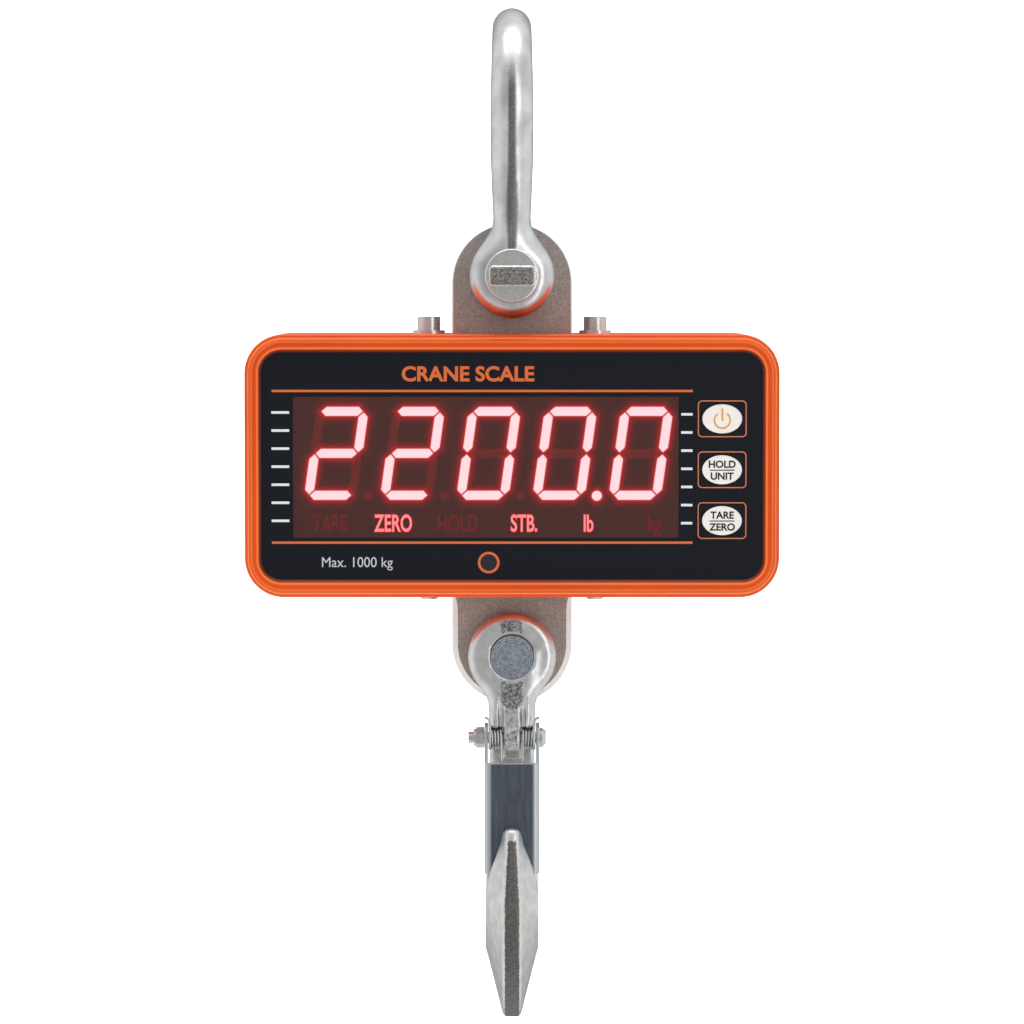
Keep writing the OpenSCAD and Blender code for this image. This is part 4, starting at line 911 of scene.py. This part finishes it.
# Unlit legends glow faintly too: painted light that makes them show in the dark window.
legend_unlit_painted_glow = lamp_ink("unlit_legend", "7A1C18", 0.9)
bar_low, bar_high = node_box("annunciator_bar")
legend_z = (bar_low[2] + bar_high[2]) / 2 + 0.4
legend_y = face_y - 0.12
legend_h = 7.2
shared = dict(slot="led_module", width=0.62)
for text, x, surface in (
    ("ZERO", -51.6, legend_lit), ("HOLD", -23.5, legend_unlit_painted_glow), ("STB.", 5.2, legend_lit),
    ("lb", 33.2, legend_lit), ("kg", 61.8, legend_unlit_painted_glow), ("TARE", -79.0, legend_unlit_painted_glow),
):
    name = "legend_" + text.lower().strip(".")
    words(name, text, legend_h, x, legend_z, surface, legend_y, weight=0.018, **shared)
    if surface is legend_lit:
        glow_y = legend_y + 0.06
        words(name + "_glow", text, legend_h, x, legend_z, legend_halo, glow_y, weight=0.06, **shared)

# ---------------------------------------------------------------------------
# Electronics behind the panel: green boards with their parts, brass spacers, the keys' switches, the
# receiver and the buzzer. They are closed in, and are seen only when the case is opened.
board, tree, shader = material("solder_masked_board", Roughness=0.35)
# Green mask over copper: fine tracks as a slightly lighter, blocky pattern.
spot = add(tree, "TexCoord").outputs["Object"]
tracks = add(tree, "TexVoronoi", {"Vector": spot, "Scale": 350.0}, distance="MANHATTAN", feature="F1")
tone = add(tree, "ValToRGB", {0: tracks}, stops=((0, "0F5A2E"), (1, "0A3F20")))
feed(shader, Base_Color=tone)
coat(board, "display_board", "main_board")

brass, *_ = mottled("turned_brass", 500, 3, "B08A3C", "D8B25A", Metallic=1.0, Roughness=0.3)
# Bar-turned brass with a slight tarnish.
coat(brass, "board_spacers")

moulding, tree, shader, spark = mottled("moulded_black_plastic", 1600, 2, "17181A", "232527", Roughness=0.5)
# Spark-eroded mould finish: a fine even grain over near-black.
eroded = add(tree, "Bump", {"Strength": 0.3, "Distance": 0.0001, "Height": spark})
feed(shader, Normal=eroded)
coat(moulding, "key_switches", "receiver_sensor", "buzzer", "battery_tray")
coat(moulding, "battery_cover", "charge_socket", bevel=0.5)

wrap, *_ = mottled("printed_heat_shrink", 120, 2, "1B4F9C", "2463B8", Roughness=0.3)
# Blue shrink film, tight over each cell.
coat(wrap, "battery_cells")

# ---------------------------------------------------------------------------
# Hook: drop forged in one piece with its two ears, then galvanised. The dies part in the plane of the
# hook, so the trimmed flash leaves a flat, rough, darker strip down the middle of the ears, the rib and
# the outside of the bowl and tip, between smooth bright flanks.
hook_low, hook_high = node_box("hook_body")
bolt_low, bolt_high = node_box("latch_nut")
ear_r = hook_high[0]
ear_out = node_box("hook_pin")[1][1] - 0.6
ear_in = cell_y + 1
crotch_z = lower_hole - cell_r - 0.9
shoulder_z = crotch_z - 4.25
pivot_y, pivot_z = (bolt_low[1] + bolt_high[1]) / 2, (bolt_low[2] + bolt_high[2]) / 2
bowl_r, outer_r, outer_y = 22.0, 45.99, 6.0
outer_z = hook_low[2] + outer_r
bowl_z = outer_z + 33.6 + bowl_r - outer_r
rise = np.array([0, 20.9, 40.6, 59.8, 74.0])
spine_front = np.polyfit(rise, [22, 18.7, 10.6, -1.5, -8.0], 4)
spine_back = np.polyfit(rise, [50.9, 46.9, 38.2, 27.6, 21.8], 3)
tip_rise = np.array([-60, 0.0, 8, 14.5, 20, 25.5, 28, 30, 31.3, 32.3, 33, 33.4])
tip_half = np.array([12.2, 12.2, 11.4, 9.7, 7.6, 5.5, 4.9, 4.5, 3.8, 2.8, 1.6, 0.0])
tip_front = np.array([-38.9, -38.9, -38.2, -37.3, -36.3, -35.0, -34.3, -33.5, -32.8, -31.9, -31.0, -30.0])
tip_back = np.array([-22.0, -22.0, -22.4, -23.0, -23.7, -24.8, -25.5, -26.3, -27.1, -28.0, -29.0, -30.0])


def hook_ends(y, z):
    """How deep a point lies from the inner and from the outer edge of the hook's side view, and the half
    width at each edge. Below the bowl's middle the edges are two arcs; above it, curves in height for the
    spine, and for the tip in front of it."""
    h = z - bowl_z
    low = h < 0
    tip = y < -8
    spine_in, spine_out = (y - np.polyval(spine_front, h)) * 0.93, (np.polyval(spine_back, h) - y) * 0.93
    tip_in, tip_out = np.interp(h, tip_rise, tip_back) - y, y - np.interp(h, tip_rise, tip_front)
    inner = np.where(low, np.hypot(y, h) - bowl_r, np.where(tip, tip_in, spine_in))
    outer = np.where(low, outer_r - np.hypot(y - outer_y, z - outer_z), np.where(tip, tip_out, spine_out))
    side = np.clip(y / 40, 0, 1)
    up = np.clip(h / 60, 0, 1)
    wide = np.where(tip, np.interp(h, tip_rise, tip_half), 12.2 - 2.1 * up)
    tip_narrow = np.minimum(3.8 - 1.4 * np.clip(h / 25, 0, 1), wide * 0.8)
    narrow = np.where(tip, tip_narrow, 3.8 + 1.6 * side + 4.2 * up)
    return inner, outer, wide, narrow


def hook_field(x, y, z):
    """Two bellied ears, a neck forked round the load cell, a centre rib between two prongs, and the spine,
    bowl and tip, whose section is a wedge with its wide side inward."""
    x = np.abs(x)
    out = np.hypot(x, z - lower_hole)
    ears = round_slab(out, np.abs(np.abs(y) - (ear_in + ear_out) / 2), ear_r, (ear_out - ear_in) / 2, 4.4)
    neck = soft_max(round_slab(x, np.abs(y), 10.2, ear_out, 4.6), shoulder_z - z, 2.5)
    neck = soft_max(neck, z - lower_hole, 1.0)
    clevis = soft_min(ears, neck, 6.0)
    h = z - bowl_z
    inner, outer, wide, narrow = hook_ends(y, z)
    share = np.clip(inner / np.maximum(inner + outer, 0.5), 0, 1)
    flank = (x - wide + (wide - narrow) * share) * 0.96
    wedge = soft_max(flank, soft_max(-inner, -outer, 1.5), 1.8)
    top = np.where(y < -8, h - 33.2, h - 75.0)
    wedge = soft_max(wedge, top, 1.5)
    front = np.interp(z, [crotch_z - 18, pivot_z - 5.5, pivot_z, crotch_z], [-8, -19.2, -20.6, -20.2])
    rib = soft_max(x - 3.9, soft_max(front - y, y - 4, 1.0), 1.2)
    rib = soft_max(rib, np.maximum(z - crotch_z + 1, crotch_z - 18.5 - z), 0.8)
    steel = soft_min(clevis, soft_min(wedge, rib, 1.5), 3.0)
    fork = soft_max(np.abs(y) - ear_in, crotch_z - z, 3.0)
    steel = soft_max(steel, -fork, 0.8)
    depth = np.clip((crotch_z + 9 - z) / 12, 0, 1) * 2.8
    groove = np.hypot(x - 4.9, (y + ear_out + 1.2 - depth) * 0.8) - 1.2
    steel = soft_max(steel, -np.maximum(groove, np.abs(z - crotch_z + 5) - 14), 0.8)
    pocket = np.maximum(np.hypot(y - pivot_y, z - pivot_z) - 6.0, 4.1 - x)
    steel = soft_max(steel, -pocket, 0.5)
    return soft_max(steel, pin_r + 0.05 - out, 0.9)


galvanised, tree, shader = material("galvanised_forging", Metallic=0.95, Roughness=0.36)
# Zinc over a shot-cleaned forging: pale, softly mottled flanks, a dark trimmed strip rubbed smooth lower
# down, and coarse pitted patches on the ears.
spot = add(tree, "TexCoord").outputs["Object"]
mottle = add(tree, "TexNoise", {"Vector": spot, "Scale": 220.0, "Detail": 4.0})
grain = add(tree, "TexNoise", {"Vector": spot, "Scale": 1300.0, "Detail": 4.0})
trim = add(tree, "Attribute", attribute_name="trim")
chips = add(tree, "TexNoise", {"Vector": spot, "Scale": 700.0, "Detail": 6.0})
ragged = add(tree, "Math", {0: trim.outputs["Fac"], 1: chips}, operation="ADD")
stripe = add(tree, "MapRange", {0: ragged, 1: 0.9, 2: 1.15})
tone = add(tree, "ValToRGB", {0: mottle}, stops=((0.3, "C4C6C5"), (0.7, "E0E1DF")))
worn = add(tree, "ValToRGB", {0: grain}, stops=((0.35, "605D5A"), (0.68, "817E7A")))
pitted = add(tree, "ValToRGB", {0: grain}, stops=((0.42, "66676A"), (0.6, "B6B7B8")))
height = add(tree, "SeparateXYZ", {0: spot}).outputs["Z"]
high_up = add(tree, "MapRange", {0: height, 1: (shoulder_z - 2) * MM, 2: (shoulder_z + 2) * MM})
either = add(tree, "Mix", {0: high_up, 6: worn, 7: pitted}, data_type="RGBA")
shown = add(tree, "Mix", {0: stripe, 6: tone, 7: either.outputs[2]}, data_type="RGBA")
feed(shader, Base_Color=shown.outputs[2])
rough = add(tree, "MapRange", {0: stripe, 3: 0.33, 4: 0.5})
feed(shader, Roughness=rough)
cast = add(tree, "Bump", {"Strength": 0.22, "Distance": 0.0008, "Height": mottle})
deep = add(tree, "MapRange", {0: stripe, 3: 0.12, 4: 1.0})
height = add(tree, "Math", {0: grain, 1: deep}, operation="MULTIPLY")
pits = add(tree, "Bump", {"Strength": 0.4, "Distance": 0.0003, "Height": height, "Normal": cast})
feed(shader, Normal=pits)


def hook_trim(x, y, z):
    """Full on the parting strip: in the middle of the ears above and below the pin, down the rib's front,
    and on the outer edge of the spine, bowl and tip."""
    x = np.abs(x)
    out = np.hypot(x, z - lower_hole)
    ear = (np.abs(y) > ear_out - 1.2) * (out > pin_r + 1.6)
    low_end = np.hypot(x, np.minimum(z - crotch_z - 9, 0)) / 5.6
    ear = ear * np.clip(1.2 - low_end ** 3, 0, 1)
    ear = ear * np.clip((ear_r - 2.0 - out + 30 * (z < lower_hole)) / 2, 0, 1)
    rib = 0.45 * (x < 3.6) * (z < crotch_z + 4) * (z > crotch_z - 17) * (y < -7)
    inner, outer, wide, narrow = hook_ends(y, z)
    edge = (outer < 2.6) * (z < crotch_z) * np.clip(1.3 - (x / np.maximum(narrow - 0.4, 0.4)) ** 4, 0, 1)
    edge = edge * np.clip((29.5 - (z - bowl_z) * (y < -8)) / 3, 0, 1)
    return np.clip(np.maximum(np.maximum(ear, rib), edge), 0, 1)


hook_step = 0.8
hook = skin("hook_forging", hook_field, hook_low - 1.5, hook_high + 1.5, hook_step, galvanised)
paint(hook, "trim", hook_trim)
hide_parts("hook_body")
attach(hook, "hook")

# ---------------------------------------------------------------------------
# Hook pin: turned bar, zinc plated blue-grey, with the lathe's rings on its end faces. A split roll pin
# through the rear ear keeps it in place.
blue_zinc, tree, shader = material("blue_passivated_turned_steel", Metallic=1.0, Roughness=0.38)
# Blue passivation over turned rings that run round the pin's own axis.
spot = add(tree, "TexCoord").outputs["Object"]
parts = add(tree, "SeparateXYZ", {0: spot})
up = add(tree, "Math", {0: parts.outputs["Z"], 1: -lower_hole * MM}, operation="ADD")
flat = add(tree, "CombineXYZ", {0: parts.outputs["X"], 2: up})
from_axis = add(tree, "VectorMath", {0: flat}, operation="LENGTH")
turns = add(tree, "CombineXYZ", {0: from_axis.outputs["Value"]})
rings = add(tree, "TexWave", {"Vector": turns, "Scale": 300.0, "Distortion": 4.0, "Detail": 3.0})
speck = add(tree, "TexNoise", {"Vector": spot, "Scale": 900.0, "Detail": 3.0})
faint = add(tree, "MapRange", {0: rings.outputs["Fac"], 3: 0.62, 4: 1.0})
both = add(tree, "Math", {0: faint, 1: speck}, operation="MULTIPLY")
tone = add(tree, "ValToRGB", {0: both}, stops=((0.2, "7C8893"), (0.6, "C2CBD3")))
feed(shader, Base_Color=tone)
lathe = add(tree, "Bump", {"Strength": 0.25, "Distance": 0.0001, "Height": both})
feed(shader, Normal=lathe)
coat(blue_zinc, "hook_pin", "hook_roll_pin", bevel=0.4)

# ---------------------------------------------------------------------------
# Latch: steel sheet folded to a channel whose two flanges reach up as ears round the hook's neck. Its
# web is dark blue-grey, and a painted highlight runs along the folds and the web's top edge.
latch_low, latch_high = node_box("hook_latch")
latch_half, latch_front, latch_end = latch_high[0], latch_low[1], latch_low[2]
sheet = 1.6
web_top = pivot_z - 10.5
flange = np.array([
    [latch_front, latch_end], [latch_front + 4.5, latch_end], [pivot_y - 2, latch_end + 8],
    [pivot_y + 0.5, pivot_z - 24], [pivot_y + 6.1, pivot_z - 2.2], [pivot_y + 6.1, pivot_z],
    [latch_front, pivot_z], [latch_front, pivot_z - 6],
])


def polygon_distance(points, u, v):
    """Signed distance to a polygon: the nearest of its sides, negative where the sides wind round."""
    nearest, inside = 1e9, False
    for (au, av), (bu, bv) in zip(points, np.roll(points, -1, axis=0)):
        du, dv = bu - au, bv - av
        along = np.clip(((u - au) * du + (v - av) * dv) / (du ** 2 + dv ** 2 + 1e-12), 0, 1)
        nearest = np.minimum(nearest, np.hypot(u - au - along * du, v - av - along * dv))
        crossed = ((av > v) != (bv > v)) & (u < du * (v - av) / (dv + 1e-12) + au)
        inside = inside ^ crossed
    return np.where(inside, -nearest, nearest)


def latch_field(x, y, z):
    """A channel: a rounded box less the same box shrunk by the sheet, trimmed to the flange's side view.
    Above the web's top edge only the two flat ears are left."""
    x = np.abs(x)
    deep = 30.0
    outer = round_slab(x, np.abs(y - latch_front - deep), latch_half, deep, 2.8)
    shell = soft_max(outer, -(outer + sheet), 0.35)
    side = np.minimum(polygon_distance(flange, y, z), np.hypot(y - pivot_y, z - pivot_z) - 6.5)
    window = np.minimum(z - web_top, latch_half - sheet - 0.35 - x)
    shell = soft_max(shell, side, 0.4)
    ears_only = np.where(z > web_top, np.maximum(x - latch_half, latch_half - sheet - x), shell)
    shell = np.where(z > web_top, soft_max(ears_only, side, 0.4), shell)
    return np.maximum(shell, window)


folded, tree, shader = material("blued_latch_sheet", Metallic=0.9, Roughness=0.42)
# Cold-rolled sheet, blued: fine rolling grain up the web, and a painted highlight along the folds.
place = add(tree, "TexCoord").outputs["Object"]
stretched = add(tree, "Mapping", {"Vector": place, "Scale": (1, 1, 0.15)})
rolling = add(tree, "TexNoise", {"Vector": stretched, "Scale": 700.0, "Detail": 4.0})
tone = add(tree, "ValToRGB", {0: rolling}, stops=((0.3, "545A62"), (0.7, "666E76")))
painted_fold_highlight = add(tree, "Attribute", attribute_name="painted_fold_highlight")
shown = add(tree, "Mix", {0: painted_fold_highlight.outputs["Fac"], 6: tone, 7: linear("BCC2C8")}, data_type="RGBA")
feed(shader, Base_Color=shown.outputs[2])
lay = add(tree, "Bump", {"Strength": 0.15, "Distance": 0.0001, "Height": rolling})
feed(shader, Normal=lay)
latch_step = 0.4
latch = skin("folded_latch", latch_field, latch_low - 1.0, latch_high + 1.0, latch_step, folded)
# Painted highlight: lighter over the folded sides and along the web's top edge.
paint(latch, "painted_fold_highlight", lambda x, y, z: np.clip((np.abs(x) - latch_half + 3.2) / 0.8, 0, 1)
      + np.clip((z - web_top + 0.7) / 0.4, 0, 1))
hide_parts("hook_latch")
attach(latch, "latch")

# ---------------------------------------------------------------------------
# Latch spring: bright drawn wire, wound as two coils that fill the room between the rib and the latch's
# ears. Each outer end bears on the neck, and the bridge between the coils presses on the latch's web.
spring, *_ = mottled("drawn_spring_wire", 1200, 2, "A9ABAB", "DADBDA", Metallic=1.0, Roughness=0.25)
# Drawn wire: bright, with fine lengthways streaks.
spring_low = node_box("latch_spring")[0]
wire_r, coil_r, coil_pitch, coil_turned = 0.6, 4.8, 1.3, 1350
coil_in = 4.8
coil_out = coil_in + coil_pitch * coil_turned / 360
leg_y = spring_low[1] - pivot_y + wire_r


def eased(path, rounds=3):
    """Cuts each corner of a path a quarter of the way along its sides, a few times over, to round it."""
    for _ in range(rounds):
        a, b = path[:-1], path[1:]
        cut = np.stack([0.75 * a + 0.25 * b, 0.25 * a + 0.75 * b], axis=1).reshape(-1, 3)
        path = np.concatenate([path[:1], cut, path[-1:]])
    return path


def spring_loops(sides=8):
    """Rings of points round the wire's path. The path is a leg, a helix about the pivot, a drop to the
    bridge, and the same mirrored. Each ring lies square to the path, and starts away from the pivot."""
    leg = [[coil_out + 2.4, leg_y, 9.4], [coil_out + 0.8, leg_y, 9.2], [coil_out, leg_y, 7.6],
           [coil_out, leg_y, -1], [coil_out, leg_y + 1.2, -3.8], [coil_out, -3, -coil_r]]
    turn = np.arange(0, coil_turned + 1, 15)
    angle = np.radians(turn - 90)
    coil_x = coil_out - coil_pitch * turn / 360
    coil = np.stack([coil_x, coil_r * np.cos(angle), coil_r * np.sin(angle)], axis=1)
    bridge_z = spring_low[2] - pivot_z + wire_r
    drop = [[coil_in, -coil_r, bridge_z + 2.5], [coil_in - 0.7, -coil_r, bridge_z + 0.7],
            [coil_in - 2.5, -coil_r, bridge_z]]
    half = np.concatenate([leg, coil, drop])
    path = eased(np.concatenate([half, half[::-1] * [-1, 1, 1]]))
    along = np.gradient(path, axis=0)
    along /= np.linalg.norm(along, axis=1)[:, None]
    beside = np.cross(along, path * [0, 1, 1])
    beside /= np.linalg.norm(beside, axis=1)[:, None]
    away = np.cross(beside, along)
    turn = np.arange(sides) * 2 * math.pi / sides
    ring = np.cos(turn)[:, None] * away[:, None] + np.sin(turn)[:, None] * beside[:, None]
    size = np.full(len(path), wire_r)
    size[[0, -1]] = 0
    path += [0, pivot_y, pivot_z]
    return path[:, None] + size[:, None, None] * ring


coils = weld(loops_piece("wound_spring", spring_loops(), spring), 80)
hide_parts("latch_spring")
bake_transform(coils)
